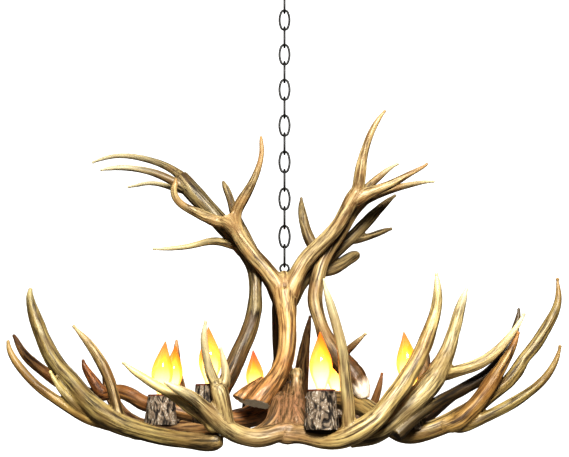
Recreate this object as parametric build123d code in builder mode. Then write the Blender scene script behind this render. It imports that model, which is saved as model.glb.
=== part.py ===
from build123d import *
import os

# Antler chandelier: eight candle lights on a ring of shed antlers, hung from the ceiling by a
# link chain. Millimetres, +Z up. The origin is the centre of the canopy's face on the ceiling.
# Heights called "up" are measured from the lamp ring, which is the level of the chandelier's waist.

os.makedirs("parts", exist_ok=True)

# ---------------------------------------------------------------- driving dimensions
RING_DROP = 800.0  # ceiling to lamp ring
RING_Z = -RING_DROP

CHAIN_LINKS = 15
CHAIN_PITCH = 33.0
CHAIN_WIRE_R = 1.9
CHAIN_WIDTH = 21.4  # outside
LINK_END_R = 6.5  # centre line of a link's tight end
RUNNING_GAP = 0.3  # between one link's wire and the next
LINK_1_UP = 271.7  # centre of the lowest link above the lamp ring

CANOPY_R = 62.0
CANOPY_DEPTH = 28.0
SHEET = 1.2  # canopy sheet thickness
CROSSBAR_LENGTH = 106.0
CROSSBAR_WIDTH = 20.0
CROSSBAR_THICK = 2.0
CROSSBAR_HOLE_SPACING = 88.9  # ceiling box screws, 3 1/2 in apart
CROSSBAR_HOLE_R = 2.2
GROUND_SCREW_X = 28.0
GROUND_SCREW_R = 2.0
NIPPLE_R = 4.8  # 1/8 in lamp pipe
NIPPLE_BORE_R = 3.2

LOOP_WIRE_R = 2.0
LOOP_R = 8.5  # centre line of the loop under the canopy
HANGER_WIRE_R = 1.75
HANGER_R = 7.25  # centre line of the loop on the antler body

TUBE_R = 6.5
TUBE_BORE_R = 5.0
TUBE_TOP_UP = 238.0
TUBE_FOOT_UP = 32.0
CROWN_CAP_R = 12.0
CROWN_CAP_THICK = 7.0
HUB_R = 33.0
HUB_WALL = 2.0
HUB_TOP_UP = 44.0
HUB_FOOT_UP = -16.0
LOCKNUT_R = 11.0
LOCKNUT_THICK = 5.0
TERMINAL_R = 14.0
TERMINAL_HEIGHT = 16.0

CUP_TOP_R = 20.5
CUP_FOOT_R = 25.5
CUP_BORE_R = 9.6
CUP_BORE_DEPTH = 31.0
SOCKET_R = 9.5
SOCKET_DEPTH = 30.0
SOCKET_BORE_DEPTH = 25.0
BASE_R = 5.8  # E12 screw base of a candle bulb
BASE_LENGTH = 22.0
BASE_TIP_R = 3.0
GLASS_WALL = 0.8
# the flame bulb's outline: height above the cup's rim, radius
GLASS_FOOT = (0.0, 6.8)
GLASS_WAIST = (12.0, 11.2)
GLASS_BELLY = (32.0, 16.8)
GLASS_SHOULDER = (52.0, 12.6)
GLASS_NECK = (70.0, 5.6)
GLASS_TIP = (82.0, 1.2)

WIRE_R = 1.4
WIRE_BORE_R = 2.4
WIRE_BEND_R = 3.0
WIRE_END_GAP = 2.2  # from the wire's last point up to the socket's terminals
DOWEL_R = 2.5
DOWEL_LENGTH = 26.0

# the eight lights: x, y, height of the cup's foot and of its rim above the lamp ring
LIGHTS = {
    1: (-190, -88, -8, 38),
    2: (-195, 92, -6, 46),
    3: (-107, -190, -4, 50),
    4: (52, -203, -14, 42),
    5: (-55, 200, 12, 46),
    6: (187, -118, -14, 50),
    7: (95, 190, 8, 46),
    8: (212, 60, -6, 46),
}


def spot(x, y, up):
    """A place given by its height above the lamp ring."""
    return Vector(x, y, RING_Z + up)


def limb(*stations):
    """One tapering limb of an antler, skinned over round sections square to its line.

    A station is (x, y, height above the lamp ring, radius).
    """
    centres = [spot(x, y, up) for x, y, up, radius in stations]
    before = [centres[0]] + centres[:-1]
    after = centres[1:] + [centres[-1]]
    side = (after[0] - before[0]).cross(Vector(0.3, 0.5, 0.8))
    sections = []
    for centre, last, following, station in zip(centres, before, after, stations):
        along = (following - last).normalized()
        side = (side - along * side.dot(along)).normalized()
        with BuildSketch(Plane(centre, x_dir=side, z_dir=along)) as section:
            Circle(station[3])
        sections.append(section.sketch)
    loft(sections)


def cope(*neighbours):
    """Cut the piece being made where it lies against its neighbours."""
    for neighbour in neighbours:
        add(neighbour.part, mode=Mode.SUBTRACT)


def finish(piece, name):
    """Name a piece and write it to its own file."""
    piece.part.label = name
    export_step(piece.part, f"parts/{name}.step")


# ---------------------------------------------------------------- ceiling fittings
with BuildPart() as canopy:
    with BuildSketch(Plane.XZ):
        with BuildLine():
            Polyline((0, -CANOPY_DEPTH), (CANOPY_R * 0.45, -CANOPY_DEPTH))
            Spline(
                (CANOPY_R * 0.45, -CANOPY_DEPTH),
                (CANOPY_R * 0.86, -CANOPY_DEPTH * 0.62),
                (CANOPY_R, 0),
                tangents=[(1, 0), (0.1, 1)],
            )
            Polyline((CANOPY_R, 0), (0, 0), (0, -CANOPY_DEPTH))
        make_face()
    revolve(axis=Axis.Z)
    offset(amount=-SHEET, openings=faces().sort_by(Axis.Z)[-1])
    with Locations((0, 0, -CANOPY_DEPTH)):
        Hole(NIPPLE_R)
finish(canopy, "canopy")

with BuildPart() as mounting_crossbar:
    with BuildSketch():
        SlotOverall(CROSSBAR_LENGTH, CROSSBAR_WIDTH)
        Circle(NIPPLE_R, mode=Mode.SUBTRACT)
        with GridLocations(CROSSBAR_HOLE_SPACING, 0, 2, 1):
            Circle(CROSSBAR_HOLE_R, mode=Mode.SUBTRACT)
        with Locations((GROUND_SCREW_X, 0)):
            Circle(GROUND_SCREW_R, mode=Mode.SUBTRACT)
    extrude(amount=-CROSSBAR_THICK)
finish(mounting_crossbar, "mounting_crossbar")

with BuildPart() as ground_screw:
    with BuildSketch():
        with Locations((GROUND_SCREW_X, 0)):
            Circle(GROUND_SCREW_R)
    extrude(amount=-CROSSBAR_THICK)
    with BuildSketch(Plane.XY.offset(-CROSSBAR_THICK)):
        with Locations((GROUND_SCREW_X, 0)):
            RegularPolygon(GROUND_SCREW_R * 2, 6)
    extrude(amount=-GROUND_SCREW_R * 1.5)
finish(ground_screw, "ground_screw")

LOOP_Z = RING_Z + LINK_1_UP + (CHAIN_LINKS - 0.5) * CHAIN_PITCH + LOOP_R - LOOP_WIRE_R - RUNNING_GAP / 2
LOOP_BOSS_TOP = -CANOPY_DEPTH - 3.0
LOOP_BOSS_FOOT = LOOP_Z + LOOP_R - 1.0
LOOP_BOSS_R = 8.0
NIPPLE_FOOT = LOOP_BOSS_FOOT + 3.0

with BuildPart() as crossbar_nipple:
    with BuildSketch():
        Circle(NIPPLE_R)
        Circle(NIPPLE_BORE_R, mode=Mode.SUBTRACT)
    extrude(amount=NIPPLE_FOOT)
finish(crossbar_nipple, "crossbar_nipple")

with BuildPart() as canopy_collar_nut:
    with BuildSketch(Plane.XY.offset(-CANOPY_DEPTH)):
        Circle(LOCKNUT_R)
    extrude(amount=LOOP_BOSS_TOP + CANOPY_DEPTH)
    chamfer(edges().group_by(Axis.Z)[0], 1.0)
    with Locations((0, 0, -CANOPY_DEPTH)):
        Hole(NIPPLE_R)
finish(canopy_collar_nut, "canopy_collar_nut")


def eye(centre_z, ring_r, wire_r, boss_r, boss_foot, boss_top):
    """A round eye in the XZ plane with a round boss, for lamp pipe, on one side of it."""
    with Locations(Location((0, 0, centre_z), (90, 0, 0))):
        Torus(ring_r, wire_r)
    with BuildSketch(Plane.XY.offset(boss_foot)) as boss:
        Circle(boss_r)
    extrude(boss.sketch, amount=boss_top - boss_foot)


with BuildPart() as canopy_loop:
    eye(LOOP_Z, LOOP_R, LOOP_WIRE_R, LOOP_BOSS_R, LOOP_BOSS_FOOT, LOOP_BOSS_TOP)
    with BuildSketch(Plane.XY.offset(LOOP_BOSS_TOP)):
        Circle(NIPPLE_R)
    extrude(amount=NIPPLE_FOOT - LOOP_BOSS_TOP, mode=Mode.SUBTRACT)
    with BuildSketch(Plane.XY.offset(LOOP_BOSS_TOP)):
        Circle(NIPPLE_BORE_R)
    extrude(amount=LOOP_Z - LOOP_BOSS_TOP, mode=Mode.SUBTRACT)
finish(canopy_loop, "canopy_loop")

# ---------------------------------------------------------------- chain
HALF_WIDTH = CHAIN_WIDTH / 2 - CHAIN_WIRE_R
HALF_LENGTH = (CHAIN_PITCH + RUNNING_GAP) / 2 + CHAIN_WIRE_R
END_CENTRE = HALF_LENGTH - LINK_END_R
# a side arc that meets the end arcs smoothly
LINK_SIDE_R = (HALF_WIDTH**2 + END_CENTRE**2 - LINK_END_R**2) / (2 * (HALF_WIDTH - LINK_END_R))
JOIN = LINK_END_R / (LINK_SIDE_R - LINK_END_R)
JOIN_ACROSS = (LINK_SIDE_R - HALF_WIDTH) * JOIN
JOIN_UP = END_CENTRE * (1 + JOIN)

for number in range(1, CHAIN_LINKS + 1):
    link_z = RING_Z + LINK_1_UP + (number - 1) * CHAIN_PITCH
    # links lie alternately edge-on and face-on to the front
    across = (0, 1, 0) if number % 2 else (1, 0, 0)
    upright = Plane((0, 0, link_z), x_dir=across, z_dir=Vector(*across).cross(Vector(0, 0, 1)))
    with BuildPart() as link:
        with BuildLine(upright) as oval:
            ThreePointArc((JOIN_ACROSS, -JOIN_UP), (HALF_WIDTH, 0), (JOIN_ACROSS, JOIN_UP))
            ThreePointArc((JOIN_ACROSS, JOIN_UP), (0, HALF_LENGTH), (-JOIN_ACROSS, JOIN_UP))
            ThreePointArc((-JOIN_ACROSS, JOIN_UP), (-HALF_WIDTH, 0), (-JOIN_ACROSS, -JOIN_UP))
            ThreePointArc((-JOIN_ACROSS, -JOIN_UP), (0, -HALF_LENGTH), (JOIN_ACROSS, -JOIN_UP))
        with BuildSketch(Plane(oval.line @ 0, z_dir=oval.line % 0)):
            Circle(CHAIN_WIRE_R)
        sweep(path=oval.line)
    finish(link, f"chain_link_{number:02d}")

# ---------------------------------------------------------------- crown, tube and wiring hub
HANGER_UP = LINK_1_UP - CHAIN_PITCH / 2 + RUNNING_GAP / 2 + HANGER_WIRE_R - HANGER_R
CROWN_TOP_UP = TUBE_TOP_UP + 5.0
CROWN_FOOT_UP = TUBE_TOP_UP - 8.0

with BuildPart() as hanger_loop:
    eye(
        RING_Z + HANGER_UP,
        HANGER_R,
        HANGER_WIRE_R,
        TUBE_R + 2.5,
        RING_Z + CROWN_FOOT_UP,
        RING_Z + CROWN_TOP_UP,
    )
    with BuildSketch(Plane.XY.offset(RING_Z + CROWN_FOOT_UP)):
        Circle(TUBE_R)
    extrude(amount=TUBE_TOP_UP - CROWN_FOOT_UP, mode=Mode.SUBTRACT)
    with BuildSketch(Plane.XY.offset(RING_Z + CROWN_FOOT_UP)):
        Circle(NIPPLE_BORE_R)
    extrude(amount=CROWN_TOP_UP - CROWN_FOOT_UP + 1.0, mode=Mode.SUBTRACT)
finish(hanger_loop, "hanger_loop")

with BuildPart() as crown_cap:
    with BuildSketch(Plane.XY.offset(RING_Z + CROWN_FOOT_UP)):
        Circle(CROWN_CAP_R)
        Circle(TUBE_R, mode=Mode.SUBTRACT)
    extrude(amount=-CROWN_CAP_THICK)
    chamfer(edges().group_by(Axis.Z)[-1].sort_by(SortBy.RADIUS)[-1], 1.5)
finish(crown_cap, "crown_cap")

# the hub's room, solid, for cutting the antlers that butt against it
with BuildPart() as hub_room:
    with BuildSketch(Plane.XY.offset(RING_Z + HUB_FOOT_UP)):
        Circle(HUB_R)
    extrude(amount=HUB_TOP_UP - HUB_FOOT_UP)
    with BuildSketch(Plane.XY.offset(RING_Z + HUB_TOP_UP)):
        RegularPolygon(LOCKNUT_R, 6)
    extrude(amount=LOCKNUT_THICK)

with BuildPart() as tube_locknuts:
    nut_feet = (HUB_TOP_UP, HUB_TOP_UP - HUB_WALL - LOCKNUT_THICK)
    for nut_foot in nut_feet:
        with BuildSketch(Plane.XY.offset(RING_Z + nut_foot)):
            RegularPolygon(LOCKNUT_R, 6)
            Circle(TUBE_R, mode=Mode.SUBTRACT)
        extrude(amount=LOCKNUT_THICK)
finish(tube_locknuts, "tube_locknuts")

# ---------------------------------------------------------------- wires and dowels inside the antlers
# each lamp's wire runs from the terminal block, along the inside of its antler, up into its socket;
# the last point is found from the light
WIRE_ROUTES = {
    1: [(-10, -7, -6), (-30, -22, 10), (-61, -34, 3), (-120, -56, 4), (-160, -63, 10), (-190, -72, 2)],
    2: [(-10, 8, -6), (-30, 23, 4), (-82, 48, -4), (-138, 72, -11), (-195, 91, -14)],
    3: [(-2, -12, -4), (1, -38, 34), (2, -62, 43), (2, -95, 33), (1, -130, 16), (-4, -172, -8),
        (-37, -196, -23), (-65, -204, -20), (-102, -204, -5)],
    4: [(4, -12, -4), (14, -38, 34), (16, -62, 43), (15, -95, 33), (13, -130, 16), (12, -172, -8),
        (26, -192, -20), (55, -200, -26)],
    5: [(-2, 12, -4), (-1, 44, 12), (2, 140, 6), (-2, 180, 6), (-26, 196, 6), (-56, 204, 6)],
    6: [(12, -3, -4), (34, -9, 24), (70, -18, 31), (101, -38, 28), (128, -62, 17), (152, -92, -3),
        (187, -119, -20)],
    7: [(4, 12, -4), (7, 44, 12), (15, 140, 6), (24, 180, 6), (50, 194, 5), (95, 194, 3)],
    8: [(10, 8, -6), (34, 22, 3), (78, 38, -6), (140, 52, -10), (212, 61, -8)],
}


def wire_run(number, radius):
    """One light's wire as a round run: the wire itself, or the wider bore that it lies in."""
    x, y, foot, rim = LIGHTS[number]
    points = [spot(*place) for place in WIRE_ROUTES[number]]
    points.append(spot(x, y, rim - SOCKET_DEPTH - WIRE_END_GAP))
    with BuildLine() as run:
        FilletPolyline(*points, radius=WIRE_BEND_R)
    with BuildSketch(Plane(run.line @ 0, z_dir=run.line % 0)) as section:
        Circle(radius)
    sweep(section.sketch, path=run.line)


# room for a light's wire and socket, for cutting its antler and its cup
wire_bores = {}
for number, (x, y, foot, rim) in LIGHTS.items():
    with BuildPart() as wire_bores[number]:
        wire_run(number, WIRE_BORE_R)
        with BuildSketch(Plane(spot(x, y, rim))):
            Circle(CUP_BORE_R)
        extrude(amount=-CUP_BORE_DEPTH)

with BuildPart() as harness_wires:
    for number in LIGHTS:
        wire_run(number, WIRE_R)
finish(harness_wires, "harness_wires")

# hidden steel dowels, by their middle and their direction, between the pieces that they pin
DOWELS = {
    "front upright to left upright": ((-53, -13, 262), (-8, 26, -5)),
    "front upright to right upright": ((68, -16, 284), (11, 25, -8)),
    "front upright to front ring antler": ((-3, -76, 52), (24, 5, -17)),
    "left upright to left ring antler": ((-108, -46, 21), (-1, -6, -18)),
    "right upright to right ring antler": ((116, -52, 42), (-5, 9, -35)),
    "back upright to back ring antler": ((15, 112, 20), (-15, -1, -24)),
    "front ring antler to front right ring antler": ((90, -196, -26), (7, 23, -5)),
    "front ring antler to front left ring antler": ((-91, -205, -20), (-13, 11, -18)),
    "front upright to tube": ((0, -18, 200), (0, 1, 0)),
    "back upright to tube": ((0, 18, 198), (0, 1, 0)),
    "front ring antler to hub": ((8, -43, 38), (0, 1, 0)),
    "right ring antler to hub": ((43, -10, 36), (1, -0.2, 0.1)),
    "back right ring antler to hub": ((37, 26, 11), (1, 0.4, -0.1)),
    "back ring antler to hub": ((4, 43, 20), (0, 1, 0)),
    "back left ring antler to hub": ((-38, 29, 13), (-1, 0.5, -0.1)),
    "left ring antler to hub": ((-40, -26, 20), (-1, -0.4, -0.2)),
}

with BuildPart() as antler_dowels:
    for middle, along in DOWELS.values():
        square = Plane(spot(*middle), z_dir=along)
        with BuildSketch(square.offset(-DOWEL_LENGTH / 2)):
            Circle(DOWEL_R)
        extrude(amount=DOWEL_LENGTH)
finish(antler_dowels, "antler_dowels")

with BuildPart() as centre_tube:
    with BuildSketch(Plane.XY.offset(RING_Z + TUBE_FOOT_UP)):
        Circle(TUBE_R)
        Circle(TUBE_BORE_R, mode=Mode.SUBTRACT)
    extrude(amount=TUBE_TOP_UP - TUBE_FOOT_UP)
    cope(antler_dowels)
finish(centre_tube, "centre_tube")

with BuildPart() as wiring_hub:
    with BuildSketch(Plane.XY.offset(RING_Z + HUB_FOOT_UP + HUB_WALL)):
        Circle(HUB_R)
    extrude(amount=HUB_TOP_UP - HUB_FOOT_UP - HUB_WALL)
    offset(amount=-HUB_WALL, openings=faces().sort_by(Axis.Z)[0])
    with Locations((0, 0, RING_Z + HUB_TOP_UP)):
        Hole(TUBE_R, depth=HUB_WALL)
    cope(antler_dowels, *wire_bores.values())
finish(wiring_hub, "wiring_hub")

with BuildPart() as hub_cover:
    with BuildSketch(Plane.XY.offset(RING_Z + HUB_FOOT_UP)):
        Circle(HUB_R)
    extrude(amount=HUB_WALL)
finish(hub_cover, "hub_cover")

with BuildPart() as terminal_block:
    with BuildSketch(Plane.XY.offset(RING_Z + HUB_FOOT_UP + HUB_WALL)):
        Circle(TERMINAL_R)
    extrude(amount=TERMINAL_HEIGHT)
    cope(harness_wires)
finish(terminal_block, "terminal_block")

FITTINGS = (hub_room, antler_dowels)

# ---------------------------------------------------------------- ring antlers
with BuildPart() as front_ring_antler:
    # stem from the hub, out and down to the broad web
    limb((7, -32, 37, 12), (9, -58, 47, 14), (8, -95, 33, 16), (7, -130, 16, 19), (5, -162, -2, 19),
         (1, -186, -17, 14))
    # rough burr standing on the stem
    limb((19, -94, 74, 9.5), (19, -99, 66, 11), (19, -106, 52, 10), (20, -118, 35, 11),
         (20, -136, 17, 13.5), (16, -154, 4, 15), (12, -170, -7, 15))
    # the web's hollow flanks, flaring into the two beams
    limb((-5, -120, 38, 6), (-11, -140, 26, 9), (-14, -158, 13, 10.2), (-18, -172, 0, 9.4),
         (-32, -184, -14, 8.6), (-49, -192, -20, 7))
    limb((20, -156, 12, 11), (25, -171, -1, 11.5), (36, -186, -16, 10.5))
    # left beam, its near tip and its long side tip
    limb((16, -186, -17, 13), (-9, -190, -18, 13.5), (-37, -196, -25, 13), (-65, -204, -20, 13),
         (-90, -214, -4, 12.5), (-108, -222, 13, 10.8), (-121, -228, 25, 9.2), (-135, -233, 35, 7.8),
         (-149, -238, 42, 6), (-158, -241, 47, 4), (-164, -243, 50, 2.2))
    limb((-92, -208, -10, 11), (-110, -211, 2, 10), (-124, -212, 11, 9.1), (-141, -212, 22, 8.4),
         (-159, -213, 35, 7.7), (-179, -215, 46, 7), (-198, -217, 58, 6.2), (-212, -220, 67, 4.9),
         (-221, -222, 74, 3.4), (-226, -224, 78, 2.2))
    # forked riser in front of the third light
    limb((-79, -208, -14, 12), (-85, -214, 13, 12.5), (-90, -217, 33, 13.5), (-95, -218, 48, 10.5))
    limb((-92, -218, 40, 9), (-101, -219, 57, 7.7), (-108, -222, 78, 6.8), (-112, -226, 99, 6),
         (-113, -231, 117, 4.9), (-112, -234, 128, 3), (-111, -236, 135, 2.2))
    limb((-91, -217, 40, 9), (-83, -214, 60, 7), (-85, -215, 77, 5.4), (-88, -218, 90, 3.5),
         (-90, -221, 99, 2.2))
    # right beam under the fourth light and up to the tall tip
    limb((-9, -188, -18, 13), (22, -191, -20, 14), (53, -199, -27, 13.7), (80, -208, -25, 14.7),
         (103, -212, -15, 15.4), (124, -211, -2, 14.7), (144, -207, 19, 13.4), (164, -202, 43, 12.8),
         (183, -197, 71, 12.4), (199, -192, 98, 11.8), (212, -188, 128, 10.5), (221, -186, 154, 9),
         (225, -186, 179, 7.3), (225, -187, 197, 4.9), (224, -188, 210, 2.4))
    # inner tine
    limb((92, -210, -19, 10), (89, -214, 5, 10), (88, -218, 31, 9.2), (85, -222, 57, 8.8),
         (80, -230, 101, 8), (71, -236, 137, 7), (63, -240, 164, 5.8), (58, -242, 180, 3.5),
         (56, -243, 193, 2.2))
    cope(*FITTINGS, wire_bores[3], wire_bores[4])
finish(front_ring_antler, "front_ring_antler")

with BuildPart() as front_right_ring_antler:
    limb((93, -186, -28, 11.5), (122, -177, -23, 13), (147, -168, -10, 14), (171, -160, 10, 15.2),
         (198, -153, 34, 16.8), (222, -146, 61, 17), (239, -138, 88, 13.6), (250, -136, 112, 11.2),
         (259, -134, 139, 9.7), (268, -132, 167, 7.8), (275, -131, 186, 5), (279, -130, 196, 2.4))
    # dark low tine, in front of the sixth light's cup
    limb((160, -170, -22, 10.8), (190, -158, 3, 9.9), (220, -140, 22, 9.3), (253, -118, 37, 9.4),
         (284, -104, 52, 9.6), (311, -100, 68, 9.2), (333, -98, 89, 8.5), (348, -97, 112, 7.4),
         (359, -96, 137, 6.2), (365, -95, 156, 4.3), (367, -94, 169, 2.2))
    # pale side tine
    limb((230, -141, 66, 10.5), (256, -136, 71, 9.4), (281, -134, 78, 8.5), (302, -134, 88, 8.3),
         (321, -136, 103, 7.4), (336, -139, 119, 6), (350, -142, 137, 4.4), (361, -145, 156, 2.2))
    cope(front_ring_antler, *FITTINGS)
finish(front_right_ring_antler, "front_right_ring_antler")

with BuildPart() as right_ring_antler:
    # stem from the hub, beam and the tall outer tip
    limb((32, -8, 24, 13), (70, -18, 31, 14), (101, -38, 28, 15), (128, -62, 17, 15),
         (152, -92, -3, 13.5), (179, -118, -21, 14), (214, -124, -16, 14.5), (250, -124, -2, 14.5),
         (285, -122, 19, 13), (313, -119, 38, 10.5), (338, -116, 56, 10), (361, -112, 83, 9.9),
         (384, -108, 110, 9.4), (403, -105, 136, 8.5), (418, -103, 159, 7.5), (427, -102, 181, 6),
         (429, -101, 199, 4), (429, -100, 216, 2.4))
    # inner tine
    limb((238, -128, -8, 12), (261, -133, 1, 13), (281, -135, 19, 12.6), (299, -136, 40, 11.8),
         (313, -137, 60, 10.8), (326, -138, 79, 9.2), (338, -139, 98, 7), (347, -140, 115, 4.4),
         (352, -141, 128, 2.2))
    # low outer tine
    limb((247, -124, -8, 9), (278, -128, -6, 8.6), (308, -132, 8, 8.4), (337, -136, 23, 8.2),
         (364, -140, 40, 7.6), (386, -143, 59, 6.4), (400, -146, 78, 5), (408, -148, 95, 3.5),
         (411, -150, 107, 2.2))
    cope(*FITTINGS, wire_bores[6])
finish(right_ring_antler, "right_ring_antler")

with BuildPart() as back_right_ring_antler:
    limb((24, 18, 4, 13), (78, 38, -6, 13.5), (140, 52, -10, 14), (206, 62, -8, 14), (236, 63, 4, 13),
         (262, 62, 24, 12), (302, 54, 51, 11), (346, 43, 78, 9.5), (372, 34, 112, 8), (386, 28, 142, 6),
         (393, 25, 164, 2.2))
    limb((150, 54, -10, 11), (192, 96, -6, 12), (228, 144, 10, 12), (250, 186, 40, 12),
         (263, 208, 78, 10), (270, 220, 106, 7), (273, 225, 125, 2.4))
    limb((216, 128, 4, 10), (238, 176, 12, 10), (254, 226, 34, 9), (264, 266, 68, 6.5),
         (267, 286, 92, 4.5), (268, 293, 106, 2.2))
    cope(*FITTINGS, wire_bores[8])
finish(back_right_ring_antler, "back_right_ring_antler")

with BuildPart() as back_ring_antler:
    # stem from the hub to the broad web
    limb((4, 30, 14, 15), (6, 90, 10, 18), (8, 140, 6, 21), (10, 182, 6, 22))
    # left beam with its low branch
    limb((40, 200, 6, 16), (4, 196, 6, 19), (-30, 200, 8, 17.5), (-64, 206, 8, 17.5),
         (-106, 216, 0, 16), (-150, 226, -6, 15), (-190, 242, 2, 14), (-218, 262, 22, 12),
         (-238, 282, 50, 9), (-248, 294, 80, 6.5), (-251, 300, 100, 2.4))
    limb((-140, 224, -5, 13), (-170, 258, 0, 13), (-196, 300, 16, 12), (-216, 334, 44, 9),
         (-225, 352, 78, 6.5), (-229, 360, 104, 2.4))
    # right beam with its low branch
    limb((-24, 200, 6, 16), (14, 196, 6, 19), (54, 196, 6, 17.5), (96, 196, 4, 17.5), (140, 192, 2, 16),
         (182, 186, 8, 14.5), (222, 182, 28, 13), (248, 184, 60, 10.5), (260, 192, 94, 7.5),
         (264, 198, 120, 2.4))
    limb((112, 196, 3, 13), (128, 238, 4, 13.5), (142, 284, 12, 12.5), (152, 324, 32, 9.5),
         (157, 346, 56, 6.5), (159, 354, 74, 2.4))
    # middle tine to the rear, brow tine, and a short spike
    limb((-8, 204, 8, 13), (-16, 254, 12, 13.5), (-22, 302, 30, 12.5), (-24, 338, 62, 9),
         (-22, 356, 100, 6), (-20, 362, 124, 2.4))
    limb((26, 190, 10, 14), (28, 172, 44, 14), (31, 152, 84, 13), (36, 136, 126, 9.5),
         (42, 126, 160, 6), (46, 122, 182, 2.4))
    limb((150, 190, 6, 9), (163, 176, 30, 8.5), (172, 162, 58, 6), (177, 154, 82, 2.4))
    cope(back_right_ring_antler, *FITTINGS, wire_bores[5], wire_bores[7])
finish(back_ring_antler, "back_ring_antler")

with BuildPart() as back_left_ring_antler:
    limb((-24, 20, 3, 16.5), (-82, 48, -7, 17.5), (-138, 72, -14, 17.5), (-194, 92, -17, 17.5),
         (-250, 104, -18, 16), (-308, 110, -5, 14), (-356, 110, 21, 12), (-388, 106, 52, 9),
         (-406, 102, 76, 5.5), (-412, 100, 88, 2.4))
    limb((-172, 84, -13, 13), (-178, 112, 17, 13), (-188, 126, 58, 12), (-194, 136, 98, 8.5),
         (-196, 140, 126, 5.5), (-196, 142, 140, 2.4))
    limb((-212, 96, -17, 13.5), (-252, 136, -11, 14), (-292, 176, 7, 13), (-322, 206, 40, 10.5),
         (-338, 224, 76, 7), (-344, 232, 104, 2.4))
    cope(*FITTINGS, wire_bores[2])
finish(back_left_ring_antler, "back_left_ring_antler")

with BuildPart() as left_ring_antler:
    # stem from the hub, behind the first light, to the far left tip
    limb((-30, -22, 14, 16), (-61, -34, 3, 16), (-89, -46, 0, 14), (-120, -56, 4, 13.3),
         (-151, -62, 10, 12.5), (-185, -64, 17, 12.5), (-216, -59, 24, 12.6), (-240, -55, 36, 12.5),
         (-264, -49, 44, 12), (-290, -40, 40, 11.6), (-316, -29, 40, 11.3), (-342, -18, 49, 10.9),
         (-367, -8, 60, 10.8), (-388, 0, 72, 10.2), (-410, 7, 87, 9.2), (-430, 14, 103, 7.8),
         (-446, 20, 122, 5.8), (-457, 24, 139, 2.4))
    limb((-282, -42, 38, 10.5), (-300, -45, 54, 9.6), (-309, -47, 67, 8), (-316, -50, 78, 6),
         (-320, -52, 87, 4), (-321, -53, 92, 2.2))
    cope(*FITTINGS, wire_bores[1])
finish(left_ring_antler, "left_ring_antler")

with BuildPart() as front_left_ring_antler:
    # beam from its butt, under the front antler, to the tall left tip
    limb((-88, -203, -28, 8), (-97, -200, -29, 12.5), (-115, -193, -30, 13), (-136, -182, -29, 12),
         (-172, -168, -24, 13), (-204, -158, -17, 13.5), (-239, -148, -6, 14.7), (-270, -140, 10, 15.5),
         (-298, -133, 32, 15), (-321, -127, 56, 14.2), (-343, -122, 79, 13.4), (-359, -118, 102, 12.6),
         (-373, -114, 128, 11.6), (-384, -112, 152, 10), (-392, -110, 173, 8), (-396, -109, 189, 5.6),
         (-396, -108, 199, 2.8))
    # low outer tine
    limb((-206, -146, -20, 8.2), (-234, -134, -16, 8.4), (-265, -130, -7, 8.6), (-290, -130, 1, 8.6),
         (-313, -130, 12, 8.4), (-334, -131, 25, 8.2), (-357, -132, 40, 7.9), (-377, -134, 56, 7.2),
         (-395, -136, 75, 6.4), (-409, -138, 94, 5.2), (-415, -139, 108, 3.8), (-416, -140, 115, 2.4))
    # pale spur in the angle of the two
    limb((-290, -134, 8, 6), (-306, -135, 18, 6.2), (-320, -137, 30, 6), (-332, -139, 43, 5.4),
         (-342, -140, 57, 4.2), (-350, -140, 70, 2.2))
    # pale inner tine
    limb((-239, -148, -5, 8.8), (-248, -144, 21, 8.6), (-257, -142, 48, 8.5), (-269, -141, 75, 8.4),
         (-284, -142, 99, 7.5), (-297, -144, 116, 6), (-308, -147, 128, 3.8), (-316, -149, 137, 2.2))
    cope(front_ring_antler, *FITTINGS)
finish(front_left_ring_antler, "front_left_ring_antler")

# ---------------------------------------------------------------- upright antlers
# its brow tine, sawn off short along its underside
with BuildPart() as brow_stub:
    limb((-30, -64, 58, 12), (-53, -73, 42, 12.8), (-70, -81, 29, 12.8), (-86, -88, 18, 12))
    split(bisect_by=Plane(spot(-67, -82, 30), z_dir=(0.42, 0.25, 0.87)), keep=Keep.TOP)

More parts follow.
